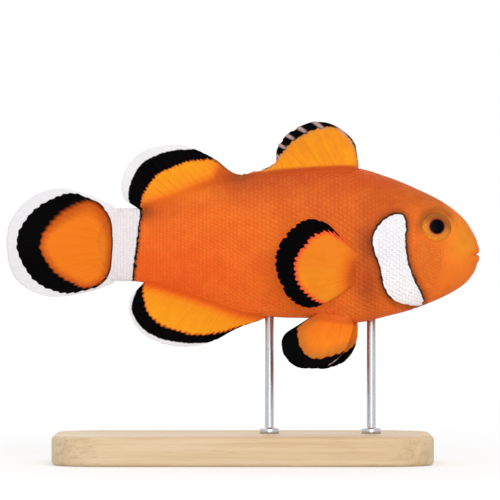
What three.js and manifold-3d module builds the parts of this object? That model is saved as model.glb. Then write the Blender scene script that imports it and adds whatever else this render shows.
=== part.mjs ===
// A clown anemonefish (Amphiprion ocellaris) as a still, life-size museum model. It swims level over a
// plain display stand: a flat wooden base and two thin steel rods whose upper ends plug into the belly.
//
// Units are millimetres, +Z is up and +X points to the snout, so the fish's right side faces -Y. The
// origin lies at the centre of the base's underside. The fish is written about its own long axis, which
// runs AXIS_HEIGHT above the table: there z = 0 is that axis.

import * as THREE from 'three';
import Module from 'manifold-3d';
import { LoftGeometry } from 'three/addons/geometries/LoftGeometry.js';
import { mergeVertices } from 'three/addons/utils/BufferGeometryUtils.js';

const wasm = await Module();
wasm.setup();

// ---------------------------------------------------------------------------------------------------
// Driving dimensions
// ---------------------------------------------------------------------------------------------------

const AXIS_HEIGHT = 36;          // long axis of the fish over the table
const GAP = 0.3;                 // clear space between neighbouring pieces
const SNOUT_X = 40;              // tip of the snout; the tail fin ends at -40, for 80 mm in all

// The body from the snout to the root of the tail fin: place along it, height of the back and of the
// belly from the long axis, and half the width.
const BODY_STATIONS = [
  { x: 39.94, back: 0.1, belly: -0.8, half: 0.4 },
  { x: 39.7, back: 1.25, belly: -2.35, half: 1.3 },
  { x: 38.9, back: 3.05, belly: -4.1, half: 2.4 },
  { x: 37.2, back: 5.5, belly: -6.0, half: 3.5 },
  { x: 33.9, back: 8.1, belly: -7.95, half: 4.6 },
  { x: 29.1, back: 10.5, belly: -9.9, half: 5.45 },
  { x: 24.4, back: 12.4, belly: -11.2, half: 6.0 },
  { x: 19.0, back: 13.9, belly: -12.3, half: 6.25 },
  { x: 12.5, back: 13.8, belly: -11.6, half: 5.9 },
  { x: 6.0, back: 13.3, belly: -11.4, half: 5.25 },
  { x: 0.0, back: 12.6, belly: -10.8, half: 4.45 },
  { x: -6.4, back: 11.1, belly: -8.6, half: 3.55 },
  { x: -12.5, back: 8.8, belly: -6.6, half: 2.7 },
  { x: -17.5, back: 7.2, belly: -5.4, half: 2.0 },
  { x: -22.0, back: 7.05, belly: -5.15, half: 1.4 },
  { x: -24.2, back: 5.6, belly: -3.9, half: 0.95 },
  { x: -25.2, back: 3.2, belly: -1.6, half: 0.55 },
];
const WIDEST_LEVEL = 0.54;       // share of the height, from the belly, where the body is widest
const BACK_FULLNESS = 1.12;      // over 1 the section narrows towards a keel, under 1 it stays full
const BELLY_FULLNESS = 0.95;
const TIP_ROUNDING = 0.06;       // how far the snout's tip stands past its first station
const MOST_SHRINK = 0.8;         // a body grown inwards keeps at least the rest of its half width
const TRUNK_SPLIT_X = 0.5;       // where the trunk's two lengths meet, and the two dorsal fins
const BODY_ROWS = 38;
const BODY_COLUMNS = 24;
// The rings are flat-sided. Swollen by this much, their flats touch the true section instead of
// cutting inside it.
const FACET_SWELL = 1 / Math.cos(Math.PI / BODY_COLUMNS);

// The fleshy base that each pectoral fin grows from stands out from the flank.
const PECTORAL_BASE = { x: 20.0, z: -3.2, long: 1.4, high: 2.7, lift: 0.4 };

// The lazy swimming bend: the tail swings to the fish's left, and the tail fin lags behind it.
const BEND_START_X = 10;
const BEND_AT_END = 2.0;         // sideways swing at the end of the tail fin, without the lag
const LAG_START_X = -22;
const LAG_AT_END = 0.9;

// Fin thickness at the root and at the free margin.
const FIN_ROOT_THICK = 1.0;
const FIN_EDGE_THICK = 0.55;
const FIN_ROOT_DEPTH = 1.4;      // how far a fin's root line lies under the skin before it is trimmed
const DORSAL_FIN_X = { front: 19.3, rear: -16.9 };
const ANAL_FIN_X = { front: 4.0, rear: -15.6 };
const ROOT_LINE_STEPS = 6;
const FIN_ROWS = 20;
const FIN_STEPS = 2;

// Eye: a flattened ball, seated in its socket.
const EYE_X = 32.65;
const EYE_Z = 3.95;
const EYE_RADIUS = 2.65;
const EYE_HALF_THICK = 1.35;
const EYE_SEAT = 0.6;            // depth of the eye's middle below the skin

// Gill covers: plates outside the head's core.
const GILL_LIFT = 0.2;           // how far a gill cover stands proud of the head
const GILL_PLATE_THICK = 1.3;

// Pectoral and pelvic fins.
const PECTORAL_SPREAD = THREE.MathUtils.degToRad(28);
const PECTORAL_CUP = 0.018;      // inward curl of the upper and lower rays, per mm squared
const PECTORAL_MID_Z = -2.6;
const PECTORAL_ROOT_X = 19.6;
const PECTORAL_RAKE = 0.45;      // how far the fin's root runs forward for each mm up
const PECTORAL_ROOT_DEPTH = 0.5; // how far the fin's root lies under the skin of the flank
const PELVIC_SPLAY = THREE.MathUtils.degToRad(15);
const PELVIC_ROOT = { x: 16.5, y: 1.7, z: -11.5 };
const PELVIC_LEFT_SWING = THREE.MathUtils.degToRad(17);  // the left one is carried further forward
const PELVIC_LEFT_SIZE = 0.87;
const PELVIC_LEFT_STEP = 0.8;

// Display stand.
const BASE_LENGTH = 64;
const BASE_WIDTH = 36;
const BASE_THICK = 5;
const BASE_CORNER = 9;
const BASE_BEVEL = 0.8;
const ROD_RADIUS = 0.75;
const ROD_X = { rear: 4.5, front: 21.7 };
const ROD_IN_BASE = 3;           // length let into the base
const ROD_FOOT_Z = BASE_THICK - ROD_IN_BASE;
const ROD_TOP_Z = -7.6;          // upper end, inside the belly
const ROD_SIDES = 16;

const COLOURS = {
  body: 0xee6b22,
  rear: 0xef5d21,
  head: 0xda6f28,
  jaw: 0xe7853a,
  stalk: 0xf2e9eb,
  spinyFin: 0xfa9b20,
  softFin: 0xf6951e,
  analFin: 0xf69523,
  tailFin: 0xf48221,
  pectoral: 0xed8225,
  pelvic: 0xf88320,
  eye: 0xb5702c,
  wood: 0xd9bd93,
  steel: 0xb9bcc0,
};

// ---------------------------------------------------------------------------------------------------
// Curves
// ---------------------------------------------------------------------------------------------------

const BACK_CURVE = stationCurve((station) => station.back);
const BELLY_CURVE = stationCurve((station) => station.belly);
const HALF_CURVE = stationCurve((station) => station.half);

// All station curves share one parameter, so they give the same x at the same place.
function stationCurve(height) {
  const points = BODY_STATIONS.map((station) => new THREE.Vector3(station.x, height(station), 0));
  return new THREE.CatmullRomCurve3(points, false, 'catmullrom', 0.5);
}

function bodyAt(t) {
  const back = BACK_CURVE.getPoint(t);
  return { x: back.x, back: back.y, belly: BELLY_CURVE.getPoint(t).y, half: HALF_CURVE.getPoint(t).y };
}

// The station at one place along the body, found by halving: x only falls along the curve.
function bodyAtX(x) {
  let low = 0;
  let high = 1;
  for (let step = 0; step < 30; step += 1) {
    const middle = (low + high) / 2;
    if (BACK_CURVE.getPoint(middle).x > x) {
      low = middle;
    } else {
      high = middle;
    }
  }
  return bodyAt((low + high) / 2);
}

function bend(x) {
  const length = SNOUT_X + BEND_START_X;
  const swing = x < BEND_START_X ? BEND_AT_END * ((BEND_START_X - x) / length) ** 2 : 0;
  const lag = x < LAG_START_X ? LAG_AT_END * ((LAG_START_X - x) / (SNOUT_X + LAG_START_X)) ** 2 : 0;
  return swing - lag;
}

// A point on the body's section, grown outwards by an amount; the angle runs from the left side upwards.
function sectionPoint(station, angle, grow) {
  const back = station.back + grow;
  const belly = station.belly - grow;
  const level = belly + WIDEST_LEVEL * (back - belly);
  const sine = Math.sin(angle);
  const cosine = Math.cos(angle);
  const fullness = sine > 0 ? BACK_FULLNESS : BELLY_FULLNESS;
  const reach = Math.sign(cosine) * Math.abs(cosine) ** fullness;
  return {
    y: (station.half + grow) * reach,
    z: level + sine * (sine > 0 ? back - level : level - belly),
  };
}

// Half the body's width at a height above its long axis.
function bodySide(x, z) {
  const station = bodyAtX(x);
  const level = station.belly + WIDEST_LEVEL * (station.back - station.belly);
  const sine = z > level ? (z - level) / (station.back - level) : (z - level) / (level - station.belly);
  return sectionPoint(station, Math.asin(THREE.MathUtils.clamp(sine, -1, 1)), 0).y;
}

function planeCurve(pairs) {
  const points = pairs.map(([x, z]) => new THREE.Vector3(x, z, 0));
  return new THREE.CatmullRomCurve3(points, false, 'centripetal');
}

// Points along a curve in the plane of the body, pushed sideways by an amount: to its right if positive.
function offsetPoints(curve, divisions, amount) {
  const points = [];
  for (let index = 0; index <= divisions; index += 1) {
    const place = curve.getPointAt(index / divisions);
    const along = curve.getTangentAt(index / divisions);
    points.push(new THREE.Vector2(place.x + along.y * amount, place.y - along.x * amount));
  }
  return points;
}

// ---------------------------------------------------------------------------------------------------
// Solids
// ---------------------------------------------------------------------------------------------------

function toSolid(geometry) {
  const bare = new THREE.BufferGeometry();
  bare.setAttribute('position', geometry.attributes.position);
  bare.setIndex(geometry.index);
  const merged = mergeVertices(bare, 1e-5);
  return new wasm.Manifold(new wasm.Mesh({
    numProp: 3,
    vertProperties: new Float32Array(merged.attributes.position.array),
    triVerts: wholeTriangles(merged.index.array),
  }));
}

// Leaves out triangles that merging has closed up, such as those round the tip of a loft.
function wholeTriangles(index) {
  const kept = [];
  for (let start = 0; start < index.length; start += 3) {
    const [a, b, c] = index.slice(start, start + 3);
    if (a !== b && b !== c && c !== a) {
      kept.push(a, b, c);
    }
  }
  return new Uint32Array(kept);
}

function toGeometry(solid) {
  const mesh = solid.getMesh();
  const geometry = new THREE.BufferGeometry();
  geometry.setAttribute('position', new THREE.BufferAttribute(new Float32Array(mesh.vertProperties), 3));
  geometry.setIndex(new THREE.BufferAttribute(new Uint32Array(mesh.triVerts), 1));
  geometry.computeVertexNormals();
  return geometry;
}

// Keeps the biggest closed piece, so that a trim leaves no crumb behind.
function biggestPiece(solid) {
  const pieces = solid.decompose();
  return pieces.reduce((best, piece) => (piece.volume() > best.volume() ? piece : best));
}

function pectoralBaseLift(x, z) {
  const along = (x - PECTORAL_BASE.x) / PECTORAL_BASE.long;
  const up = (z - PECTORAL_BASE.z) / PECTORAL_BASE.high;
  return PECTORAL_BASE.lift * Math.exp(-(along ** 2)) * Math.exp(-(up ** 2));
}

// The whole body without fins, grown outwards (or inwards, if negative) by an amount.
function bodySolid(grow) {
  const sections = [];
  for (let row = 0; row <= BODY_ROWS; row += 1) {
    const t = row / BODY_ROWS;
    const station = bodyAt(t);
    const ring = [];
    for (let column = 0; column < BODY_COLUMNS; column += 1) {
      const angle = -2 * Math.PI * column / BODY_COLUMNS;
      const plain = sectionPoint(station, angle, 0);
      const out = grow + pectoralBaseLift(station.x, plain.z);
      const { y, z } = sectionPoint(station, angle, Math.max(out, -MOST_SHRINK * station.half));
      const middleZ = (station.back + station.belly) / 2;
      ring.push(new THREE.Vector3(
        station.x + grow * (1 - 2 * t),
        y * FACET_SWELL + bend(station.x),
        middleZ + (z - middleZ) * FACET_SWELL,
      ));
    }
    sections.push(ring);
  }
  sections.unshift(closedUp(sections[0], TIP_ROUNDING));
  sections.push(closedUp(sections.at(-1), -TIP_ROUNDING));
  return toSolid(new LoftGeometry(sections));
}

// A ring shrunk to one point, a little further along, which closes the end of a loft.
function closedUp(ring, along) {
  const middle = ring.reduce((sum, point) => sum.add(point), new THREE.Vector3());
  middle.divideScalar(ring.length);
  middle.x += along;
  return ring.map(() => middle.clone());
}

// A straight-sided block over an outline in the plane of the body, from one side to the other.
function prism(points, lowY, highY) {
  const geometry = new THREE.ExtrudeGeometry(new THREE.Shape(points), {
    depth: highY - lowY,
    bevelEnabled: false,
  });
  geometry.rotateX(Math.PI / 2);
  geometry.translate(0, highY, 0);
  return toSolid(geometry);
}

const FAR = 60;                  // well past every part of the fish
const CUT_STEPS = 30;
const OUTLINE_STEPS = 32;

// All that lies ahead of a cut line, or behind it, short of the line by half a gap. Cut lines run
// from above the back to below the belly.
function aheadOf(line) {
  const edge = offsetPoints(line, CUT_STEPS, -GAP / 2);
  return prism([...edge, new THREE.Vector2(FAR, -FAR), new THREE.Vector2(FAR, FAR)], -FAR, FAR);
}

function behind(line) {
  const edge = offsetPoints(line, CUT_STEPS, GAP / 2);
  return prism([...edge, new THREE.Vector2(-FAR, -FAR), new THREE.Vector2(-FAR, FAR)], -FAR, FAR);
}

// An outline widened all round by about an amount, from its middle.
function widened(points, amount) {
  const middle = points.reduce((sum, point) => sum.add(point), new THREE.Vector2());
  middle.divideScalar(points.length);
  return points.map((point) => {
    const out = point.clone().sub(middle);
    return point.clone().add(out.setLength(amount));
  });
}

// A smooth closed outline through a few places.
function outline(pairs) {
  const curve = planeCurve(pairs);
  curve.closed = true;
  const points = curve.getSpacedPoints(OUTLINE_STEPS).slice(0, -1);
  return points.map((point) => new THREE.Vector2(point.x, point.y));
}

// A fin as a thin plate, lofted along its root. Each section is one ray: a flat ring that runs from the
// root line out to the margin and back. sway gives the middle of the plate sideways at any point.
function finSolid({ root, margin, lean, sway, trim }) {
  const sections = [];
  for (let row = 0; row <= FIN_ROWS; row += 1) {
    const t = row / FIN_ROWS;
    const inner = root.getPointAt(t);
    const outer = margin.getPointAt(t ** lean);
    const near = [];
    const far = [];
    for (let step = 0; step <= FIN_STEPS; step += 1) {
      const share = step / FIN_STEPS;
      const x = THREE.MathUtils.lerp(inner.x, outer.x, share);
      const z = THREE.MathUtils.lerp(inner.y, outer.y, share);
      const y = sway(x, z);
      const half = THREE.MathUtils.lerp(FIN_ROOT_THICK, FIN_EDGE_THICK, share) / 2;
      near.push(new THREE.Vector3(x, y - half, z));
      far.unshift(new THREE.Vector3(x, y + half, z));
    }
    sections.push([...near, ...far]);
  }
  sections.unshift(closedUp(sections[0], 0));
  sections.push(closedUp(sections.at(-1), 0));
  const plate = toSolid(new LoftGeometry(sections));
  return biggestPiece(plate.volume() > 0 ? plate.subtract(trim) : insideOut(sections).subtract(trim));
}

// The same loft with its rings read the other way round, for a fin lofted in the opposite sense.
function insideOut(sections) {
  return toSolid(new LoftGeometry(sections.map((ring) => [...ring].reverse())));
}

// ---------------------------------------------------------------------------------------------------
// Where the body is parted
// ---------------------------------------------------------------------------------------------------

// Rear edge of the gill covers, carried on over the nape and under the throat.
const GILL_EDGE = planeCurve([
  [25.4, 30], [25.2, 12], [24.4, 6.4], [21.9, 3.2], [21.8, 0], [22.9, -3.7], [23.9, -6.8],
  [25.9, -9.0], [28.8, -10.2], [31.0, -30],
]);
const MID_TRUNK = planeCurve([[TRUNK_SPLIT_X, 30], [TRUNK_SPLIT_X, -30]]);
const STALK_FRONT = planeCurve([[-17.3, 30], [-17.3, 7.1], [-18.1, 0], [-18.6, -5.2], [-18.6, -30]]);

// Each gill plate: its front follows the ridge of the cheek, and its rear is cut by the gill edge.
const GILL_PLATE = outline([
  [20, 6.3], [25, 6.5], [28.2, 6.1], [29.2, 3.0], [29.3, -0.8], [29.8, -3.7], [31.0, -5.7], [32.2, -7.5],
  [30.6, -9.0], [26, -9.3], [20, -9.0],
]);

// The jaws meet at the mouth's slit, which runs from the snout back and a little down to its corner.
const UPPER_JAW = outline([
  [44, -0.36], [40, -0.36], [37.7, -1.0], [36.4, -1.7], [36.8, 0.1], [38.6, 1.8], [44, 2.4],
]);
const LOWER_JAW = outline([
  [44, -0.66], [40, -0.66], [37.7, -1.3], [36.1, -2.3], [34.6, -4.9], [34.4, -12], [44, -12],
]);

// ---------------------------------------------------------------------------------------------------
// Sub-parts
// ---------------------------------------------------------------------------------------------------

const body = bodySolid(0);
const bodyWithGap = bodySolid(GAP);
const proudBody = bodySolid(GILL_LIFT);
const headCore = bodySolid(-GILL_PLATE_THICK);
const headCoreWithGap = bodySolid(-GILL_PLATE_THICK - GAP);

function eyeSolid(side, grow) {
  const flesh = bodySide(EYE_X, EYE_Z);
  const ahead = bodySide(EYE_X + 1, EYE_Z) - bodySide(EYE_X - 1, EYE_Z);
  const above = bodySide(EYE_X, EYE_Z + 1) - bodySide(EYE_X, EYE_Z - 1);
  const outward = new THREE.Vector3(-ahead / 2, side, -above / 2).normalize();
  const middle = new THREE.Vector3(EYE_X, side * flesh, EYE_Z).addScaledVector(outward, -EYE_SEAT);
  const ball = new THREE.SphereGeometry(1, 18, 10);
  ball.scale(EYE_RADIUS + grow, EYE_HALF_THICK + grow, EYE_RADIUS + grow);
  ball.applyQuaternion(new THREE.Quaternion().setFromUnitVectors(new THREE.Vector3(0, 1, 0), outward));
  ball.translate(middle.x, middle.y, middle.z);
  return toSolid(ball);
}

// One gill cover's block: the plate's outline on one side of the body's middle plane.
function gillBlock(side, points) {
  return side > 0 ? prism(points, GAP, FAR) : prism(points, -FAR, -GAP);
}

function gillCover(side) {
  const plate = proudBody.intersect(gillBlock(side, GILL_PLATE)).intersect(aheadOf(GILL_EDGE));
  return biggestPiece(plate.subtract(headCore));
}

function upperJaw() {
  return body.intersect(prism(UPPER_JAW, -FAR, FAR));
}

function lowerJaw() {
  return body.intersect(prism(LOWER_JAW, -FAR, FAR));
}

function head() {
  let solid = body.intersect(aheadOf(GILL_EDGE));
  for (const side of [-1, 1]) {
    solid = solid.subtract(gillBlock(side, widened(GILL_PLATE, GAP)).subtract(headCoreWithGap));
    solid = solid.subtract(eyeSolid(side, GAP));
  }
  for (const jaw of [UPPER_JAW, LOWER_JAW]) {
    solid = solid.subtract(prism(widened(jaw, GAP), -FAR, FAR));
  }
  return biggestPiece(solid);
}

// A rod of the stand, or with a gap added the hole that takes it, in the fish's own heights.
function rodSolid(x, gap) {
  const bottom = ROD_FOOT_Z - AXIS_HEIGHT - gap;
  const top = ROD_TOP_Z + gap;
  const rod = new THREE.CylinderGeometry(ROD_RADIUS + gap, ROD_RADIUS + gap, top - bottom, ROD_SIDES);
  rod.rotateX(Math.PI / 2);
  rod.translate(x, 0, (top + bottom) / 2);
  return rod;
}

function trunkFront() {
  let solid = body.intersect(behind(GILL_EDGE)).intersect(aheadOf(MID_TRUNK));
  for (const x of Object.values(ROD_X)) {
    solid = solid.subtract(toSolid(rodSolid(x, GAP)));
  }
  return biggestPiece(solid);
}

function trunkRear() {
  return body.intersect(behind(MID_TRUNK)).intersect(aheadOf(STALK_FRONT));
}

function tailStalk() {
  return body.intersect(behind(STALK_FRONT));
}

// Root lines of the fins on the body's middle plane, a little under the skin.
function backRoot(fromX, toX) {
  return rootLine(fromX, toX, (station) => station.back - FIN_ROOT_DEPTH);
}

function bellyRoot(fromX, toX) {
  return rootLine(fromX, toX, (station) => station.belly + FIN_ROOT_DEPTH);
}

function rootLine(fromX, toX, height) {
  const pairs = [];
  for (let step = 0; step <= ROOT_LINE_STEPS; step += 1) {
    const x = THREE.MathUtils.lerp(fromX, toX, step / ROOT_LINE_STEPS);
    pairs.push([x, height(bodyAtX(x))]);
  }
  return planeCurve(pairs);
}

const alongMiddle = (x) => bend(x);
const FIN_SPLIT_FRONT = TRUNK_SPLIT_X + GAP / 2;
const FIN_SPLIT_REAR = TRUNK_SPLIT_X - GAP / 2;

function spinyDorsalFin() {
  return finSolid({
    root: backRoot(DORSAL_FIN_X.front, FIN_SPLIT_FRONT),
    margin: planeCurve([
      [19.6, 14.3], [18.9, 18.2], [16.6, 20.45], [14.2, 21.65], [11.6, 21.65], [7.9, 19.95], [5.75, 17.3],
      [5.45, 15.0], [3.9, 13.9], [1.8, 13.35], [FIN_SPLIT_FRONT, 13.0],
    ]),
    lean: 0.75,
    sway: alongMiddle,
    trim: bodyWithGap,
  });
}

function softDorsalFin() {
  return finSolid({
    root: backRoot(FIN_SPLIT_REAR, DORSAL_FIN_X.rear),
    margin: planeCurve([
      [FIN_SPLIT_REAR, 12.9], [-0.8, 12.85], [-2.1, 13.35], [-4.9, 15.5], [-9.8, 17.6],
      [-13.6, 17.65], [-17.6, 16.2],
      [-20.1, 13.0], [-20.5, 9.9], [-19.6, 8.2], [-18.0, 7.5],
    ]),
    lean: 0.85,
    sway: alongMiddle,
    trim: bodyWithGap,
  });
}

function analFin() {
  return finSolid({
    root: bellyRoot(ANAL_FIN_X.front, ANAL_FIN_X.rear),
    margin: planeCurve([
      [ANAL_FIN_X.front, -11.55], [-1.0, -13.3], [-4.8, -15.3], [-8.9, -16.35],
      [-13.3, -15.9], [-17.3, -13.8],
      [-19.3, -10.4], [-18.9, -7.9], [-17.2, -6.0],
    ]),
    lean: 0.85,
    sway: alongMiddle,
    trim: bodyWithGap,
  });
}

function tailFin() {
  return finSolid({
    root: planeCurve([[-20.9, 5.9], [-21.4, 1.0], [-20.9, -4.1]]),
    margin: planeCurve([
      [-22.0, 7.5], [-26.4, 9.4], [-31.5, 10.4], [-36.3, 8.5], [-39.4, 4.6], [-39.96, 0.2], [-38.5, -4.8],
      [-33.6, -7.75], [-26.5, -7.2], [-22.0, -5.7],
    ]),
    lean: 1,
    sway: alongMiddle,
    trim: bodyWithGap,
  });
}

// The pectoral fin stands off the flank as a shallow cup that opens forwards and inwards.
function pectoralFin(side) {
  const rootY = bodySide(PECTORAL_ROOT_X, PECTORAL_MID_Z) - PECTORAL_ROOT_DEPTH;
  return finSolid({
    root: planeCurve([[20.5, -1.3], [19.7, -3.5], [18.6, -6.0]]),
    margin: planeCurve([
      [19.3, -0.7], [16.7, 1.8], [13.9, 4.6], [10.7, 5.15], [7.6, 3.2], [5.4, -0.9], [5.7, -4.2],
      [8.1, -8.5], [11.4, -9.75], [14.6, -8.5], [17.5, -6.7],
    ]),
    lean: 1,
    sway: (x, z) => {
      const up = z - PECTORAL_MID_Z;
      const out = rootY + (PECTORAL_ROOT_X + PECTORAL_RAKE * up - x) * Math.tan(PECTORAL_SPREAD);
      return side * (out - PECTORAL_CUP * up ** 2);
    },
    trim: bodyWithGap,
  });
}

// The pelvic fins hang from the belly beside each other and splay outwards.
function pelvicFin(side) {
  const isLeft = side > 0;
  const pivot = new THREE.Vector2(PELVIC_ROOT.x, PELVIC_ROOT.z);
  const placed = ([x, z]) => {
    const arm = new THREE.Vector2(x, z).sub(pivot);
    if (isLeft) {
      arm.multiplyScalar(PELVIC_LEFT_SIZE).rotateAround(new THREE.Vector2(), PELVIC_LEFT_SWING);
      arm.x += PELVIC_LEFT_STEP;
    }
    return arm.add(pivot).toArray();
  };
  return finSolid({
    root: planeCurve([[18.2, -10.9], [15.5, -10.7], [12.8, -10.4]].map(placed)),
    margin: planeCurve([
      [18.7, -12.8], [18.0, -15.2], [16.7, -17.6], [14.4, -19.5], [11.5, -20.0], [8.9, -19.6],
      [6.95, -17.8], [6.7, -14.7], [10.0, -12.2],
    ].map(placed)),
    lean: 1,
    sway: (x, z) => side * (PELVIC_ROOT.y + (PELVIC_ROOT.z - z) * Math.tan(PELVIC_SPLAY)),
    trim: bodyWithGap,
  });
}

// ---------------------------------------------------------------------------------------------------
// The stand
// ---------------------------------------------------------------------------------------------------

function baseOutline() {
  const halfLength = BASE_LENGTH / 2 - BASE_BEVEL;
  const halfWidth = BASE_WIDTH / 2 - BASE_BEVEL;
  const corner = BASE_CORNER - BASE_BEVEL;
  const shape = new THREE.Shape();
  shape.absarc(halfLength - corner, halfWidth - corner, corner, 0, Math.PI / 2);
  shape.absarc(corner - halfLength, halfWidth - corner, corner, Math.PI / 2, Math.PI);
  shape.absarc(corner - halfLength, corner - halfWidth, corner, Math.PI, Math.PI * 1.5);
  shape.absarc(halfLength - corner, corner - halfWidth, corner, Math.PI * 1.5, Math.PI * 2);
  shape.closePath();
  return shape;
}

function standBase() {
  const slab = new THREE.ExtrudeGeometry(baseOutline(), {
    depth: BASE_THICK - 2 * BASE_BEVEL,
    bevelThickness: BASE_BEVEL,
    bevelSize: BASE_BEVEL,
    bevelSegments: 2,
    curveSegments: 6,
  });
  slab.translate(0, 0, BASE_BEVEL);
  let solid = toSolid(slab);
  for (const x of Object.values(ROD_X)) {
    const hole = rodSolid(x, GAP);
    hole.translate(0, 0, AXIS_HEIGHT);
    solid = solid.subtract(toSolid(hole));
  }
  return solid;
}

// ---------------------------------------------------------------------------------------------------
// Assembly
// ---------------------------------------------------------------------------------------------------

function namedMesh(name, solid, color, roughness, metalness = 0) {
  const material = new THREE.MeshStandardMaterial({ color, roughness, metalness });
  const mesh = new THREE.Mesh(toGeometry(solid), material);
  mesh.name = name;
  return mesh;
}

const fish = new THREE.Group();
fish.position.z = AXIS_HEIGHT;
fish.add(namedMesh('head', head(), COLOURS.head, 0.5));
fish.add(namedMesh('upper_jaw', upperJaw(), COLOURS.jaw, 0.5));
fish.add(namedMesh('lower_jaw', lowerJaw(), COLOURS.jaw, 0.5));
fish.add(namedMesh('trunk_front', trunkFront(), COLOURS.body, 0.5));
fish.add(namedMesh('trunk_rear', trunkRear(), COLOURS.rear, 0.5));
fish.add(namedMesh('tail_stalk', tailStalk(), COLOURS.stalk, 0.5));
fish.add(namedMesh('dorsal_fin_spiny', spinyDorsalFin(), COLOURS.spinyFin, 0.55));
fish.add(namedMesh('dorsal_fin_soft', softDorsalFin(), COLOURS.softFin, 0.55));
fish.add(namedMesh('anal_fin', analFin(), COLOURS.analFin, 0.55));
fish.add(namedMesh('caudal_fin', tailFin(), COLOURS.tailFin, 0.55));
for (const [word, side] of [['right', -1], ['left', 1]]) {
  fish.add(namedMesh(`gill_cover_${word}`, gillCover(side), COLOURS.head, 0.5));
  fish.add(namedMesh(`eye_${word}`, eyeSolid(side, 0), COLOURS.eye, 0.15));
  fish.add(namedMesh(`pectoral_fin_${word}`, pectoralFin(side), COLOURS.pectoral, 0.55));
  fish.add(namedMesh(`pelvic_fin_${word}`, pelvicFin(side), COLOURS.pelvic, 0.55));
}

const stand = new THREE.Group();
stand.add(namedMesh('stand_base', standBase(), COLOURS.wood, 0.55));
for (const [word, x] of Object.entries(ROD_X)) {
  const rod = namedMesh(`stand_rod_${word}`, toSolid(rodSolid(x, 0)), COLOURS.steel, 0.3, 1);
  rod.position.z = AXIS_HEIGHT;
  stand.add(rod);
}

const group = new THREE.Group();
group.add(fish, stand);

export default group;
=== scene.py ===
"""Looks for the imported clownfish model: one skin with mesh scales, rayed fins, eyes and the display stand.

The fish is worked out in millimetres about its own long axis, with +X to the snout, +Z up and its right
side towards -Y, as in the CAD model. put() turns that into metres in the CAD frame.
"""

import math

import bpy
import numpy as np
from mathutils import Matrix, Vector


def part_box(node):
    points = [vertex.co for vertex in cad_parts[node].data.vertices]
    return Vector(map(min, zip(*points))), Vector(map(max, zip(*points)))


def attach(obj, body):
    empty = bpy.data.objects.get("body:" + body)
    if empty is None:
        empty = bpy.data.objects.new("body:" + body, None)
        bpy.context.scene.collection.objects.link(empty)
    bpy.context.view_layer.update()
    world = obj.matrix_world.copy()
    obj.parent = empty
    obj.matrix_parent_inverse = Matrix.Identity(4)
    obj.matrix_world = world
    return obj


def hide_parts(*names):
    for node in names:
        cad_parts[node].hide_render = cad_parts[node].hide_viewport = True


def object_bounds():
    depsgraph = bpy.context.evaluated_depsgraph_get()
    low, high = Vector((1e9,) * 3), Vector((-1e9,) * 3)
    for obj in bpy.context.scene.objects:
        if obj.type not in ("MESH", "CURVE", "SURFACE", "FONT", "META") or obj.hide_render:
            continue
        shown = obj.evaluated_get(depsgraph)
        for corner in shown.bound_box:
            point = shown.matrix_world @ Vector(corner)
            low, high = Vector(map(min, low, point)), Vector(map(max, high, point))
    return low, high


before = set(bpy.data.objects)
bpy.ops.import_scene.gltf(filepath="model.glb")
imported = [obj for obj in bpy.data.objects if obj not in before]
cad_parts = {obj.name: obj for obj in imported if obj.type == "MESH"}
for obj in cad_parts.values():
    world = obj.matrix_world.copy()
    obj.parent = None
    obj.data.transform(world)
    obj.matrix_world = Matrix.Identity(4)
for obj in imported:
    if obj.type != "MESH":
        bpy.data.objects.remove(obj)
CAD_LOW, CAD_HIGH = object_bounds()

# ---- The frame's own sizes ----

MODEL_LENGTH = 80.0                    # snout to tail, in the units that the shapes below are written in
UNIT = (CAD_HIGH.x - CAD_LOW.x) / MODEL_LENGTH
PER_MM = 1.0 / UNIT                    # turns a size in mm into a texture scale
ROD_TOP_DEPTH = 7.6                    # the stand's rods end this far under the fish's long axis
AXIS_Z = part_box("stand_rod_front")[1].z + ROD_TOP_DEPTH * UNIT
RIGHT, LEFT = -1, 1
FULL_TURN = 2 * math.pi

# ---- Shape of the body, as in the CAD model but for a finer tip of the snout ----

# Place along the body, back, belly and half width.
BODY_STATIONS = [
    (39.96, -0.5, -0.96, 0.13),
    (39.7, 1.25, -2.35, 1.3),
    (38.9, 3.05, -4.1, 2.4),
    (37.2, 5.5, -6.0, 3.5),
    (33.9, 8.1, -7.95, 4.6),
    (29.1, 10.5, -9.9, 5.45),
    (24.4, 12.4, -11.2, 6.0),
    (19.0, 13.9, -12.3, 6.25),
    (12.5, 13.8, -11.6, 5.9),
    (6.0, 13.3, -11.4, 5.25),
    (0.0, 12.6, -10.8, 4.45),
    (-6.4, 11.1, -8.6, 3.55),
    (-12.5, 8.8, -6.6, 2.7),
    (-17.5, 7.2, -5.4, 2.0),
    (-22.0, 7.05, -5.15, 1.4),
    (-24.2, 5.6, -3.9, 0.95),
    (-25.2, 3.2, -1.6, 0.55),
]
WIDEST_LEVEL = 0.54
BACK_FULLNESS = 1.12
BELLY_FULLNESS = 0.95

BEND_START_X, BEND_AT_END = 10.0, 2.0
LAG_START_X, LAG_AT_END = -22.0, 0.9
SNOUT_X = 40.0

EYE_X, EYE_Z = 32.65, 3.95
EYE_RADIUS, EYE_HALF_THICK, EYE_SEAT = 2.65, 1.35, 0.6

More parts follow.
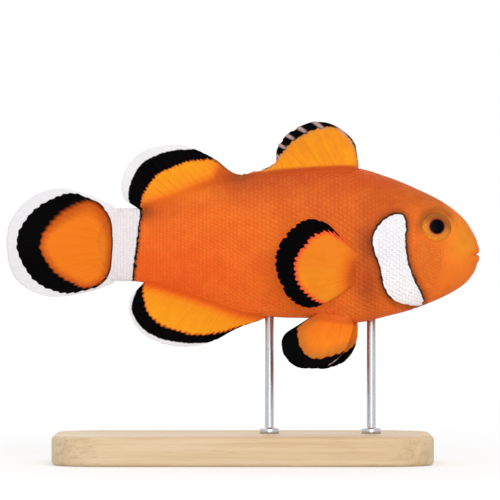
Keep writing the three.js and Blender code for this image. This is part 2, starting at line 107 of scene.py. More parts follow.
# Lines on the side of the body, each through a few places.
GILL_EDGE = [(25.4, 14), (25.2, 12), (24.4, 6.4), (21.9, 3.2), (21.8, 0), (22.9, -3.7), (23.9, -6.8),
             (25.9, -9.0), (28.8, -10.2), (31.0, -14)]
CHEEK_RIDGE = [(28.2, 6.6), (29.2, 3.0), (29.3, -0.8), (29.8, -3.7), (31.0, -5.7), (32.6, -7.2)]
MOUTH_SLIT = [(41.0, -0.74), (39.7, -0.72), (38.8, -0.86), (37.6, -1.35)]
JAW_FOLD = [(37.75, -1.2), (37.0, -1.9), (36.5, -1.6), (36.7, -0.4), (37.5, 0.9), (38.6, 1.9)]
CHEEK_BAR = [(26.4, 6.0), (27.2, 5.2), (27.35, 3.0), (27.25, 0.6), (27.8, -2.4), (28.95, -5.4), (30.3, -8.2),
             (30.2, -9.2), (28.4, -9.3), (25.5, -8.4), (23.9, -6.3), (23.0, -2.4), (22.0, 0.2), (22.05, 2.6),
             (23.75, 5.1)]
STALK_BAND_FRONT = [(-17.1, 12), (-17.3, 7.1), (-17.7, 3.4), (-18.1, 0), (-18.5, -3.0), (-18.7, -5.3),
                    (-18.9, -12)]
# The dark disc of the tail, and the orange patch inside it.
TAIL_DISC = [(-21.9, 2.2), (-22.3, 5.3), (-24.0, 7.8), (-26.6, 9.1), (-29.3, 9.7), (-34.3, 7.6), (-36.9, 5.0),
             (-38.3, 1.9), (-38.0, -0.8), (-36.6, -3.6), (-34.4, -5.9), (-30.2, -7.35), (-27.0, -7.0),
             (-24.1, -6.0), (-22.5, -4.0), (-21.95, -0.4)]
TAIL_PATCH = [(-22.15, 2.2), (-22.6, 5.2), (-24.2, 7.5), (-26.1, 8.3), (-30.0, 6.8), (-33.4, 3.4),
              (-34.3, 0.9), (-33.4, -1.7), (-31.4, -4.1), (-29.0, -5.5), (-26.6, -6.4), (-24.2, -5.65),
              (-22.75, -3.8), (-22.2, -0.4)]

# ---- Numbers and curves ----


def smooth(value, low, high):
    """0 below low, 1 above high and an S-shaped rise between them."""
    share = np.clip((value - low) / (high - low), 0.0, 1.0)
    return share * share * (3.0 - 2.0 * share)


def bump(value, middle, width):
    """A bell of height 1 about middle."""
    return np.exp(-(((value - middle) / width) ** 2))


def through_rows(rows, t):
    """Uniform Catmull-Rom through rows of numbers, as t goes from 0 to 1."""
    rows = np.asarray(rows, float)
    padded = np.vstack([2 * rows[0] - rows[1], rows, 2 * rows[-1] - rows[-2]])
    place = np.clip(t, 0.0, 1.0) * (len(rows) - 1)
    index = np.minimum(place.astype(int), len(rows) - 2)
    f = (place - index)[:, None]
    a, b, c, d = (padded[index + k] for k in range(4))
    return 0.5 * (2 * b + (c - a) * f + (2 * a - 5 * b + 4 * c - d) * f**2 + (3 * b - a - 3 * c + d) * f**3)


def curve_through(places, closed=False, steps=12):
    """A dense centripetal Catmull-Rom curve through a few places."""
    places = np.asarray(places, float)
    if closed:
        padded = np.vstack([places[-1:], places, places[:2]])
    else:
        padded = np.vstack([2 * places[0] - places[1], places, 2 * places[-1] - places[-2]])
    f = np.linspace(0.0, 1.0, steps, endpoint=False)[:, None]
    parts = []
    for a, b, c, d in zip(padded, padded[1:], padded[2:], padded[3:]):
        ab, bc, cd = (math.sqrt(np.linalg.norm(q - p)) for p, q in ((a, b), (b, c), (c, d)))
        leave = bc * ((b - a) / ab - (c - a) / (ab + bc) + (c - b) / bc)
        arrive = bc * ((c - b) / bc - (d - b) / (bc + cd) + (d - c) / cd)
        parts.append((2 * f**3 - 3 * f**2 + 1) * b + (f**3 - 2 * f**2 + f) * leave
                     + (3 * f**2 - 2 * f**3) * c + (f**3 - f**2) * arrive)
    end = places[0] if closed else places[-1]
    return np.vstack(parts + [end])


def along(curve, u):
    """Points at shares u of a dense curve's length."""
    steps = np.linalg.norm(np.diff(curve, axis=0), axis=1)
    length = np.concatenate([[0.0], np.cumsum(steps)])
    return np.stack([np.interp(np.asarray(u) * length[-1], length, axis) for axis in curve.T], axis=-1)


def reach(points, curve):
    """Distance from points (n, 2) to a dense curve: positive on its right as it runs, else negative."""
    tiny = 1e-9                        # keeps equal distances from trading places, and never divides by 0
    best = np.full(len(points), np.inf)
    side = np.ones(len(points))
    for start, end in zip(curve, curve[1:]):
        run = end - start
        off = points - start
        share = np.clip(off @ run / max(run @ run, tiny**2), 0.0, 1.0)
        gap = off - share[:, None] * run
        distance = np.hypot(gap[:, 0], gap[:, 1])
        nearer = distance < best - tiny
        turn = run[1] * off[:, 0] - run[0] * off[:, 1]
        best = np.where(nearer, distance, best)
        side = np.where(nearer, np.where(turn >= 0, 1.0, -1.0), side)
    return best * side


def reach_away(points, curve, home):
    """Distance to a dense curve: negative on the side where the spot home lies, positive beyond it."""
    return -reach(points, curve) * np.sign(reach(np.atleast_2d(home), curve))


def depth_inside(points, outline):
    """Distance to a closed outline: positive inside it, negative outside."""
    distance = np.abs(reach(points, outline))
    inside = np.zeros(len(points), bool)
    for (ax, az), (bx, bz) in zip(outline, outline[1:]):
        if az == bz:
            continue
        spans = (az > points[:, 1]) != (bz > points[:, 1])
        cross = ax + (points[:, 1] - az) * (bx - ax) / (bz - az)
        inside ^= spans & (points[:, 0] < cross)
    return np.where(inside, distance, -distance)


def bend(x):
    """How far the swimming bend carries the body to its left."""
    swing = BEND_AT_END * (np.maximum(BEND_START_X - x, 0.0) / (SNOUT_X + BEND_START_X)) ** 2
    lag = LAG_AT_END * (np.maximum(LAG_START_X - x, 0.0) / (SNOUT_X + LAG_START_X)) ** 2
    return swing - lag


def srgb(red, green, blue):
    """A screen colour from 0 to 255 as linear light."""
    def linear(value):
        value /= 255.0
        return value / 12.92 if value <= 0.04045 else ((value + 0.055) / 1.055) ** 2.4
    return (linear(red), linear(green), linear(blue), 1.0)


# ---- Meshes ----


def put(points):
    """Millimetres about the fish's axis, unbent, to metres in the CAD frame."""
    placed = np.array(points, float)
    placed[..., 1] += bend(placed[..., 0])
    placed *= UNIT
    placed[..., 2] += AXIS_Z
    return placed


def add_faces(mesh, faces, flat):
    """Fills a mesh's faces from arrays, each (n, corners). flat marks the ones that aren't smooth."""
    corners = np.concatenate([face.ravel() for face in faces]).astype(np.int32)
    sizes = np.concatenate([np.full(len(face), face.shape[1]) for face in faces])
    mesh.loops.add(len(corners))
    mesh.loops.foreach_set("vertex_index", corners)
    mesh.polygons.add(len(sizes))
    starts = np.concatenate([[0], np.cumsum(sizes)[:-1]]).astype(np.int32)
    mesh.polygons.foreach_set("loop_start", starts)
    mesh.update(calc_edges=True)
    mesh.polygons.foreach_set("use_smooth", np.ones(len(sizes), bool) if flat is None else ~flat)


def new_piece(name, points, faces, material, uv=None, flat=None, values=None, tone=None):
    """A mesh piece from points in metres. uv holds one pair for each corner, in the order of the faces.

    values are named numbers at each point, and tone is a colour at each point.
    """
    mesh = bpy.data.meshes.new(name)
    mesh.vertices.add(len(points))
    mesh.vertices.foreach_set("co", np.asarray(points, np.float32).ravel())
    add_faces(mesh, faces, flat)
    if uv is not None:
        mesh.uv_layers.new(name="OFBake").data.foreach_set("uv", np.asarray(uv, np.float32).ravel())
    for key, data in (values or {}).items():
        layer = mesh.attributes.new(key, "FLOAT", "POINT")
        layer.data.foreach_set("value", np.asarray(data, np.float32).ravel())
    if tone is not None:
        layer = mesh.attributes.new("tone", "FLOAT_COLOR", "POINT")
        layer.data.foreach_set("color", np.asarray(tone, np.float32).ravel())
    mesh.validate()
    piece = bpy.data.objects.new(name, mesh)
    bpy.context.scene.collection.objects.link(piece)
    mesh.materials.append(material)
    return piece


def at_corners(point_uv, faces):
    """A map of one pair for each point, spread over the corners of the faces."""
    return np.concatenate([point_uv[face.ravel()].ravel() for face in faces])


def grid_faces(rows, columns, wrap=False):
    """Quads over a grid of points, numbered row by row."""
    row = np.arange(rows - 1)[:, None]
    column = np.arange(columns if wrap else columns - 1)[None, :]
    after = (column + 1) % columns
    quads = np.stack([row * columns + column, row * columns + after,
                      (row + 1) * columns + after, (row + 1) * columns + column], axis=-1)
    return quads.reshape(-1, 4)


def border_loop(rows, columns):
    """Indices round the edge of a grid of points."""
    grid = np.arange(rows * columns).reshape(rows, columns)
    return np.concatenate([grid[0, :-1], grid[:-1, -1], grid[-1, :0:-1], grid[:0:-1, 0]])


def end_fans(rows, columns):
    """Triangles that close a wrapped grid at both ends, on two points numbered after the grid's own."""
    column = np.arange(columns)
    after = (column + 1) % columns
    last = (rows - 1) * columns
    hub = np.full(columns, rows * columns)
    return np.stack([after, column, hub], axis=-1), np.stack([last + column, last + after, hub + 1], axis=-1)


def stacked_rings(name, rings, material):
    """A closed piece from rings of points, each above the last, with a flat face at both ends."""
    points = np.array(rings)
    count, around = points.shape[:2]
    quads = grid_faces(count, around, wrap=True)
    top = (np.arange(around) + (count - 1) * around)[None, :]
    bottom = np.arange(around)[::-1][None, :]
    flat = np.concatenate([np.zeros(len(quads), bool), [True, True]])
    return new_piece(name, points.reshape(-1, 3), [quads, top, bottom], material, flat=flat)


# ---- The body's surface ----

SKIN_ROWS, SKIN_COLUMNS = 400, 240
HEAD_START_X = 22.0
HEAD_DENSITY = 1.9                     # rows lie this much closer together over the head
HEAD_BLEND = 3.0                       # and change to that over this far, before and behind
RELIEF_START_X = 14.0                  # no relief behind this place
STATION_SAMPLES, LENGTH_SAMPLES, RING_SAMPLES = 2000, 4000, 1441


def body_stations(t):
    return through_rows(BODY_STATIONS, np.atleast_1d(t)).T


def station_at(x):
    """Back, belly and half width at places x along the body."""
    t = np.linspace(0.0, 1.0, STATION_SAMPLES)
    all_x, back, belly, half = body_stations(t)
    return tuple(np.interp(-np.asarray(x), -all_x, line) for line in (back, belly, half))


def row_places():
    """Values of t whose rings lie evenly along the body, closer over the head."""
    t = np.linspace(0.0, 1.0, LENGTH_SAMPLES)
    x, back, belly, half = body_stations(t)
    moves = [np.diff(line) for line in (x, back, belly, half)]
    step = np.sqrt(moves[0]**2 + 0.4 * moves[1]**2 + 0.4 * moves[2]**2 + 0.4 * moves[3]**2)
    on_head = smooth(x[:-1], HEAD_START_X - HEAD_BLEND, HEAD_START_X + HEAD_BLEND)
    density = 1.0 + (HEAD_DENSITY - 1.0) * on_head
    length = np.concatenate([[0.0], np.cumsum(step * density)])
    return np.interp(np.linspace(0.0, length[-1], SKIN_ROWS), length, t)


def body_rings(t, columns):
    """Rings round the body, evenly spaced along the skin from the belly up the right side and over."""
    x, back, belly, half = body_stations(t)
    level = belly + WIDEST_LEVEL * (back - belly)
    angle = -math.pi / 2 - np.linspace(0.0, FULL_TURN, RING_SAMPLES)

    def section(turn, row):
        sine, cosine = np.sin(turn), np.cos(turn)
        fullness = np.where(sine > 0, BACK_FULLNESS, BELLY_FULLNESS)
        y = half[row] * np.sign(cosine) * np.abs(cosine) ** fullness
        z = level[row] + sine * np.where(sine > 0, back[row] - level[row], level[row] - belly[row])
        return y, z

    rings = np.empty((len(x), columns, 3))
    for row in range(len(x)):
        y, z = section(angle, row)
        length = np.concatenate([[0.0], np.cumsum(np.hypot(np.diff(y), np.diff(z)))])
        turns = np.interp(np.arange(columns) / columns * length[-1], length, angle)
        y, z = section(turns, row)
        rings[row] = np.stack([np.full(columns, x[row]), y, z], axis=-1)
    return rings


def side_at(x, z):
    """Half the body's width at a place on its side."""
    back, belly, half = station_at(x)
    level = belly + WIDEST_LEVEL * (back - belly)
    sine = (z - level) / (back - level) if z > level else (z - level) / (level - belly)
    fullness = BACK_FULLNESS if sine > 0 else BELLY_FULLNESS
    return float(half * math.sqrt(1.0 - sine**2) ** fullness)


def ring_normals(rings):
    """Outward normals of a grid of rings that closes round on itself."""
    down = np.gradient(rings, axis=0)
    around = np.roll(rings, -1, axis=1) - np.roll(rings, 1, axis=1)
    normal = np.cross(around, down)
    normal /= np.linalg.norm(normal, axis=-1, keepdims=True)
    return normal


def eye_distance(x, z):
    return np.hypot(x - EYE_X, z - EYE_Z)


def step_and_groove(distance, rise, start, fade, groove, groove_at, groove_width):
    """A step up across a line that fades out beyond it, with a groove in front of the step."""
    step = rise * smooth(distance, start, 0.15) * np.exp(-np.maximum(distance, 0.0) / fade)
    return step - groove * bump(distance, groove_at, groove_width)


def gill_relief(flat):
    """The gill cover stands proud and ends in a groove; it fades out over the nape and under the throat."""
    edge = reach(flat, curve_through(GILL_EDGE))
    span = smooth(flat[:, 1], 7.6, 5.4) * smooth(flat[:, 1], -10.4, -9.2)
    return span * step_and_groove(edge, rise=0.20, start=-0.12, fade=3.0, groove=0.16, groove_at=-0.28,
                                  groove_width=0.22)


def cheek_relief(flat):
    """The ridge of the cheek, a step down towards the gill cover."""
    ridge = reach(flat, curve_through(CHEEK_RIDGE))
    span = smooth(flat[:, 1], 6.4, 4.6) * smooth(flat[:, 1], -7.4, -6.0)
    return span * step_and_groove(ridge, rise=0.10, start=-0.1, fade=2.2, groove=0.07, groove_at=-0.25,
                                  groove_width=0.2)


def eye_relief(flat):
    """The eye sits in a shallow moat, with a fleshy brow over it and a faint fold outside."""
    ring = eye_distance(flat[:, 0], flat[:, 1])
    brow = smooth(flat[:, 1] - EYE_Z, -1.5, 1.5)
    moat = -0.07 * bump(ring, 2.52, 0.16)
    fold = 0.03 * bump(ring, 3.6, 0.35)
    return moat + (0.02 + 0.10 * brow) * bump(ring, 2.9, 0.3) - fold


def mouth_relief(flat):
    """A slit between two full lips with a crease beyond each. The slit is deepest in front."""
    slit = reach(flat, curve_through(MOUTH_SLIT))
    fade = smooth(flat[:, 0], 37.9, 39.0)
    gape = 0.2 + 0.3 * smooth(flat[:, 0], 38.6, 39.7)
    lower_lip = 0.13 * bump(slit, -0.85, 0.45)
    upper_lip = 0.13 * bump(slit, 0.85, 0.55)
    lower_crease = 0.06 * bump(slit, -1.75, 0.3)
    upper_crease = 0.06 * bump(slit, 1.85, 0.3)
    return fade * (-gape * bump(slit, 0.0, 0.17) + lower_lip + upper_lip - lower_crease - upper_crease)


def jaw_relief(flat):
    """The fold behind the corner of the mouth."""
    fold = reach(flat, curve_through(JAW_FOLD))
    return -0.04 * bump(fold, 0.0, 0.18) * smooth(flat[:, 0], 39.2, 38.0)


def pectoral_relief(flat):
    """The fleshy base that the pectoral fin grows from."""
    return 0.4 * bump(flat[:, 0], 20.0, 1.4) * bump(flat[:, 1], -3.2, 2.7)


def nostril_relief(flat):
    """One nostril on each side, a small pit with a raised rim."""
    pit = np.hypot(flat[:, 0] - 36.3, flat[:, 1] - 4.2)
    return 0.07 * bump(pit, 0.42, 0.14) - 0.3 * bump(pit, 0.0, 0.24)


def relief(x, z):
    """How far the skin stands out from the plain body, in mm, for each point of the side."""
    flat = np.stack([x.ravel(), z.ravel()], axis=-1)
    on_head = flat[:, 0] > RELIEF_START_X
    raised = np.zeros(len(flat))
    for feature in (gill_relief, cheek_relief, eye_relief, mouth_relief, jaw_relief, pectoral_relief,
                    nostril_relief):
        raised[on_head] += feature(flat[on_head])
    return raised.reshape(x.shape)


class Surface:
    """The finished skin as a grid: points, outward normals and steps along and round it, unbent."""

    def __init__(self):
        plain = body_rings(row_places(), SKIN_COLUMNS)
        normal = ring_normals(plain)
        self.points = plain + normal * relief(plain[..., 0], plain[..., 2])[..., None]
        self.normals = ring_normals(self.points)
        self.down = np.linalg.norm(np.gradient(plain, axis=0), axis=-1)
        around = np.roll(plain, -1, axis=1) - np.roll(plain, 1, axis=1)
        self.around = np.linalg.norm(around, axis=-1) / 2

    def sample(self, grid, row, column):
        """Values of a grid at fractional rows and columns."""
        row = np.clip(row, 0.0, SKIN_ROWS - 1.001)
        top = row.astype(int)
        left = np.floor(column).astype(int)
        f = row - top
        g = column - left
        left, right = left % SKIN_COLUMNS, (left + 1) % SKIN_COLUMNS
        if grid.ndim == 3:
            f, g = f[..., None], g[..., None]
        upper = grid[top, left] * (1 - g) + grid[top, right] * g
        lower = grid[top + 1, left] * (1 - g) + grid[top + 1, right] * g
        return upper * (1 - f) + lower * f


# ---- Markings of the skin, with its painted shade and light, shared by the skin and its scales ----

BODY_ORANGE = srgb(244, 114, 34)
ORBIT_BROWN = srgb(158, 88, 32)
ORBIT_STRENGTH = 0.8

# Soft areas of another tone, some of them painted shade and some painted light: middle, reach along and
# across, colour and strength.
TONES_AND_PAINTED_LIGHT = [
    ((-12, -4), (15, 7), srgb(244, 94, 30), 0.85),        # redder towards the tail and below
    ((9, 13), (15, 5.0), srgb(202, 84, 36), 0.92),        # darker along the back
    ((0, 11.5), (5, 3), srgb(196, 82, 38), 0.6),
    ((-9, 9.4), (4.5, 1.3), srgb(246, 128, 36), 0.6),     # paler under the rear fin
    ((-14, 6.4), (5, 2.4), srgb(216, 92, 34), 0.5),
    ((20, 14), (11, 5.5), srgb(213, 88, 36), 0.9),        # shoulder
    ((23.6, 8.2), (5.2, 4.2), srgb(200, 82, 28), 0.9),    # nape
    ((31, 9.4), (5, 2.8), srgb(200, 98, 34), 0.9),        # forehead
    ((-0.6, 12.6), (2.6, 1.4), srgb(150, 78, 38), 0.7),   # painted shade in the dip between the two fins of the back
    ((20.6, 0.6), (2.5, 4.8), srgb(160, 64, 28), 0.95),   # painted shade in the hollow behind the gill cover, above
    ((21.1, -6.4), (2.8, 4.8), srgb(168, 72, 32), 0.9),   # painted shade in the same hollow, below
    ((14, 6.2), (6, 3.2), srgb(222, 98, 34), 0.7),        # over the pectoral fin
    ((18.9, -0.8), (1.0, 1.1), srgb(236, 124, 38), 0.6),  # the pectoral fin's fleshy base, above
    ((19.2, -4.4), (1.8, 2.2), srgb(202, 84, 32), 0.8),   # and painted shade at its foot
    ((30.6, -2), (2.6, 6), srgb(216, 108, 38), 0.8),      # cheek, its own tone darkened by painted shade along the cheek ridge
    ((37.3, 1.8), (3.3, 4.8), srgb(233, 142, 38), 0.92),  # snout
    ((35, -5.0), (3.5, 2.6), srgb(238, 120, 36), 0.8),    # chin
    ((15, -10.6), (8, 2.4), srgb(236, 112, 42), 0.8),     # chest, paler in its own colour and painted lighter against the shade below
    ((0, -10), (8, 2.2), srgb(252, 110, 40), 0.8),        # belly, paler in its own colour and painted lighter against the shade below
    ((-16.9, 6.4), (1.8, 1.4), srgb(130, 54, 28), 0.8),   # shade at the end of the back
]


def body_tone(x, z):
    """The orange of the flank at each place, with painted shade and light in some places, before the white
    bars.
    """
    colour = np.tile(np.array(BODY_ORANGE), (len(x), 1))
    for (mid_x, mid_z), (reach_x, reach_z), tone, strength in TONES_AND_PAINTED_LIGHT:
        share = strength * np.exp(-(((x - mid_x) / reach_x) ** 2 + ((z - mid_z) / reach_z) ** 2))
        colour += share[:, None] * (np.array(tone) - colour)
    over_eye = smooth(z - EYE_Z - 0.35 * (x - EYE_X), -1.2, 1.6)
    orbit = ORBIT_STRENGTH * bump(eye_distance(x, z), 2.85, 0.6) * over_eye
    return colour + orbit[:, None] * (np.array(ORBIT_BROWN) - colour)


def tail_marks(flat):
    return {"disc": depth_inside(flat, curve_through(TAIL_DISC, closed=True)),
            "patch": depth_inside(flat, curve_through(TAIL_PATCH, closed=True))}


def skin_marks(points):
    """The named values that the skin's material paints with, and its tone, for points (n, 3) in mm."""
    flat = points[:, [0, 2]]
    values = {"bar": depth_inside(flat, curve_through(CHEEK_BAR, closed=True)),
              "band": reach_away(flat, curve_through(STALK_BAND_FRONT), (0.0, 0.0)),
              "down": flat[:, 1], **tail_marks(flat)}
    return values, body_tone(flat[:, 0], flat[:, 1])


# ---- Material building blocks ----


class Nodes:
    """A short way to write a material's nodes."""

    def __init__(self, name):
        self.material = bpy.data.materials.new(name)
        self.material.use_nodes = True
        self.tree = self.material.node_tree
        self.shader = self.tree.nodes["Principled BSDF"]

    def add(self, kind, **settings):
        node = self.tree.nodes.new(kind)
        for key, value in settings.items():
            setattr(node, key, value)
        return node

    def link(self, source, socket):
        self.tree.links.new(source, socket)

    def feed(self, socket, value):
        """Links an output, or sets a plain value."""
        if isinstance(value, bpy.types.NodeSocket):
            self.link(value, socket)
        else:
            socket.default_value = value

    def value(self, name):
        return self.add("ShaderNodeAttribute", attribute_name=name).outputs["Fac"]

    def colour(self, name):
        return self.add("ShaderNodeAttribute", attribute_name=name).outputs["Color"]

    def math(self, operation, first, second):
        node = self.add("ShaderNodeMath", operation=operation)
        for socket, value in zip(node.inputs, (first, second, 0.0)):
            self.feed(socket, value)
        return node.outputs[0]

    def plus(self, first, second):
        return self.math("ADD", first, second)

    def times(self, first, second):
        return self.math("MULTIPLY", first, second)

    def rise(self, value, low, high, start=0.0, end=1.0):
        """An S-shaped change from start to end as value goes from low to high."""
        node = self.add("ShaderNodeMapRange", interpolation_type="SMOOTHSTEP")
        for key, number in (("From Min", low), ("From Max", high), ("To Min", start), ("To Max", end)):
            node.inputs[key].default_value = number
        self.feed(node.inputs["Value"], value)
        return node.outputs["Result"]

    def mix(self, share, first, second, blend="MIX"):
        node = self.add("ShaderNodeMix", data_type="RGBA", blend_type=blend)
        self.feed(node.inputs["Factor"], share)
        self.feed(node.inputs["A"], first)
        self.feed(node.inputs["B"], second)
        return node.outputs["Result"]

    def over(self, colour, tone, value, low, high, start=0.0, end=1.0):
        """Lays a tone over a colour, from a share of start where value is low to a share of end."""
        return self.mix(self.rise(value, low, high, start, end), colour, tone)

    def texture(self, space, stretch, scale, detail, roughness):
        """Noise in one of the object's own spaces, drawn out by stretch."""
        mapping = self.add("ShaderNodeMapping")
        mapping.inputs["Scale"].default_value = stretch
        self.link(self.add("ShaderNodeTexCoord").outputs[space], mapping.inputs["Vector"])
        node = self.add("ShaderNodeTexNoise")
        for key, number in (("Scale", scale), ("Detail", detail), ("Roughness", roughness)):
            node.inputs[key].default_value = number
        self.link(mapping.outputs["Vector"], node.inputs["Vector"])
        return node.outputs["Fac"]

    def noise(self, per_mm, detail=3.0, roughness=0.5, stretch=(1.0, 1.0, 1.0)):
        """Noise over the object, with about this many grains to a millimetre."""
        return self.texture("Object", stretch, per_mm * PER_MM, detail, roughness)

    def swing(self, source, amount):
        """Turns noise into a small change to either side of 0."""
        return self.times(self.math("SUBTRACT", source, 0.5), amount)

    def bumps(self, height, distance, strength):
        """Fine relief from a height, distance mm high."""
        node = self.add("ShaderNodeBump")
        node.inputs["Strength"].default_value = strength
        node.inputs["Distance"].default_value = distance * UNIT
        self.link(height, node.inputs["Height"])
        self.link(node.outputs["Normal"], self.shader.inputs["Normal"])

    def finish(self, colour, roughness, specular=0.5, coat=0.0, coat_roughness=0.1, metallic=0.0):
        self.feed(self.shader.inputs["Base Color"], colour)
        self.feed(self.shader.inputs["Roughness"], roughness)
        self.shader.inputs["Specular IOR Level"].default_value = specular
        self.shader.inputs["Coat Weight"].default_value = coat
        self.shader.inputs["Coat Roughness"].default_value = coat_roughness
        self.shader.inputs["Metallic"].default_value = metallic
        return self.material


WHITE_SKIN = srgb(243, 241, 245)
# White painted lighter low on the bar, as painted light.
PAINTED_LIGHT_LOW_WHITE = srgb(255, 253, 255)
BAND_WHITE = srgb(240, 232, 234)
RIM_WHITE = srgb(236, 234, 236)
INK = srgb(3, 2, 3)
OUTLINE_BROWN = srgb(104, 44, 22)
TAIL_ORANGE = srgb(240, 125, 30)
TAIL_RUST = srgb(180, 60, 24)
MOTTLE_RED, MOTTLE_GOLD = srgb(196, 66, 22), srgb(255, 150, 50)
# Painted highlight for the free edges of the scales.
SCALE_EDGE_HIGHLIGHT = srgb(255, 170, 90)

MARK_WOBBLE = 0.55                     # the edges of the marks wander this far, in mm
BAND_RAGGED = 0.9                      # and the ink of the tail's band this much more
SCALE_TINT = 0.022                     # how far a scale's brightness may differ from the skin's


def paint_tail(n, colour, jitter):
    """White round the tail's dark disc, with the orange patch inside it."""
    disc = n.plus(n.value("disc"), n.times(jitter, 0.5))
    patch = n.plus(n.value("patch"), jitter)
    patch = n.times(patch, n.rise(n.value("down"), 1.0, 6.0, 1.0, 0.45))
    tail = n.over(TAIL_ORANGE, TAIL_RUST, patch, 1.5, 0.0, 0.0, 0.75)
    tail = n.over(tail, INK, patch, 0.28, -0.2)
    return n.over(colour, tail, disc, 0.0, 0.12)


def paint_bar(n, colour, wobble):
    """The white bar behind the cheek, in a black line that fades under the throat."""
    bar = n.plus(n.value("bar"), wobble)
    colour = n.over(colour, OUTLINE_BROWN, bar, -1.5, -0.2, 0.0, 0.6)
    ink = n.times(n.rise(bar, -0.5, -0.16), n.rise(n.value("down"), -9.0, -7.9, 0.1, 0.95))
    colour = n.mix(ink, colour, INK)
    # The bar's white is painted lighter towards its lower end, as painted light against the shade under the
    # throat.
    white = n.over(WHITE_SKIN, PAINTED_LIGHT_LOW_WHITE, n.value("down"), 0.0, -8.0)
    return n.over(colour, white, bar, -0.1, 0.1)


def paint_band(n, colour, wobble):
    """The white band round the tail's stalk, with a ragged black line in front."""
    band = n.plus(n.value("band"), wobble)
    colour = n.over(colour, OUTLINE_BROWN, band, -1.0, -0.15, 0.0, 0.65)
    ragged = n.swing(n.noise(2.6, 1.0), BAND_RAGGED)
    colour = n.over(colour, INK, n.plus(band, ragged), -0.42, -0.26)
    return n.over(colour, BAND_WHITE, band, -0.08, 0.12)


def skin_material():
    """Orange skin with the white cheek bar and stalk band, each edged in black."""
    n = Nodes("fish_skin")
    wobble = n.swing(n.noise(1.3), MARK_WOBBLE)
    mottle = n.noise(0.35, 4.0, 0.6)
    # The flank's tone carries its painted shade and light in some places.
    colour = n.over(n.colour("tone"), MOTTLE_RED, mottle, 0.35, 0.75, 0.0, 0.14)
    colour = n.over(colour, MOTTLE_GOLD, mottle, 0.3, 0.6, 0.10, 0.0)
    colour = paint_bar(n, colour, wobble)
    colour = paint_band(n, colour, wobble)
    colour = paint_tail(n, colour, n.times(wobble, 0.4))

    # Each scale has its own slight tone, and a painted highlight lightens its free edge.
    edge = n.rise(n.value("scale_edge"), 0.55, 1.0, 0.0, 0.02)
    colour = n.mix(edge, colour, SCALE_EDGE_HIGHLIGHT, "SCREEN")
    bright = n.add("ShaderNodeHueSaturation")
    n.feed(bright.inputs["Value"], n.plus(1.0, n.times(n.value("scale_tone"), SCALE_TINT)))
    n.feed(bright.inputs["Color"], colour)
    n.bumps(n.noise(6.0, 2.0), 0.02, 0.5)
    return n.finish(bright.outputs["Color"], n.rise(n.noise(0.9), 0.3, 0.7, 0.42, 0.54), specular=0.08)


# ---- Skin and scales ----

FLESH_NODES = ["head", "upper_jaw", "lower_jaw", "gill_cover_right", "gill_cover_left", "trunk_front",
               "trunk_rear", "tail_stalk"]
SCALE_COAT = 0.04                      # the skin lies this far inside the body's shape, under its scales
TAIL_HUB_STEP = (0.06, 0.0, 0.0)       # the skin closes this far behind its last ring


def skin_map():
    """One pair for each corner of the skin's quads and of the fans at its two ends."""
    column = np.arange(SKIN_COLUMNS)
    row = np.repeat(np.arange(SKIN_ROWS - 1), SKIN_COLUMNS)
    low, high = row / SKIN_ROWS, (row + 1) / SKIN_ROWS
    left = np.tile(column, SKIN_ROWS - 1) / SKIN_COLUMNS
    right = left + 1 / SKIN_COLUMNS
    quads = np.stack([low, left, low, right, high, right, high, left], axis=-1)
    a, b = column / SKIN_COLUMNS, (column + 1) / SKIN_COLUMNS
    zero, one = np.zeros(SKIN_COLUMNS), np.full(SKIN_COLUMNS, (SKIN_ROWS - 1) / SKIN_ROWS)
    front = np.stack([zero, b, zero, a, zero, (a + b) / 2], axis=-1)
    back = np.stack([one, a, one, b, one + 0.001, (a + b) / 2], axis=-1)
    return np.concatenate([quads.ravel(), front.ravel(), back.ravel()])


def make_skin(surface, material):
    points = surface.points - surface.normals * SCALE_COAT
    snout = points[0].mean(axis=0)
    snout[0] = points[0][:, 0].min()                     # as deep as the slit of the mouth
    tail = points[-1].mean(axis=0) - TAIL_HUB_STEP
    everything = np.vstack([points.reshape(-1, 3), snout, tail])
    faces = [grid_faces(SKIN_ROWS, SKIN_COLUMNS, wrap=True), *end_fans(SKIN_ROWS, SKIN_COLUMNS)]
    values, tone = skin_marks(everything)
    values["scale_tone"] = np.zeros(len(everything))
    values["scale_edge"] = np.zeros(len(everything))
    skin = new_piece("skin", put(everything), faces, material, skin_map(), None, values, tone)
    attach(skin, "root")
    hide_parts(*FLESH_NODES)


SCALE_ROWS_ROUND = 72
SCALE_SPACING = [(-25.5, 0.46), (-20, 0.54), (-8, 0.64), (10, 0.74), (21, 0.68), (27, 0.54), (34, 0.44)]
USUAL_SPACING = 0.8                    # a scale at this spacing is lifted by SCALE_LIFT
LAST_SCALE_GAP = 0.4                   # no scale starts nearer than this to the end of the skin
SCALE_SIDE = 5                         # points along and across each scale
SCALE_OVERLAP = 1.0                    # half length of a scale, in column spacings
SCALE_HALF_WIDTH = 0.62                # half width of a scale, in row spacings
SCALE_LIFT = 0.019
SCALE_SINK = 0.03
SCALE_THICK = 0.03
SCALE_UV = 0.003
SCALE_SEED = 7
COLUMN_SCATTER, ROW_SCATTER = 0.03, 0.05    # how unevenly the scales are set
SCALE_SIZES = (0.95, 1.05)             # and how unevenly they are sized
BELLY_OFFSET = 0.25                    # the rows start this far off the line of the belly
NAKED_SNOUT_X, SCALED_TAIL_X, BARE_ROUND_EYE = 33.4, -24.9, 3.4
THROAT_LEVEL = -2.0                    # the bare snout reaches further back below this
TAIL_MIDDLE = 0.9                      # level of the middle of the tail's stalk
SCALE_FADE = 2.2                       # scales flatten over this distance towards the bare skin
WHITE_FLATNESS = 0.6                   # scales lie this much flatter on the white marks


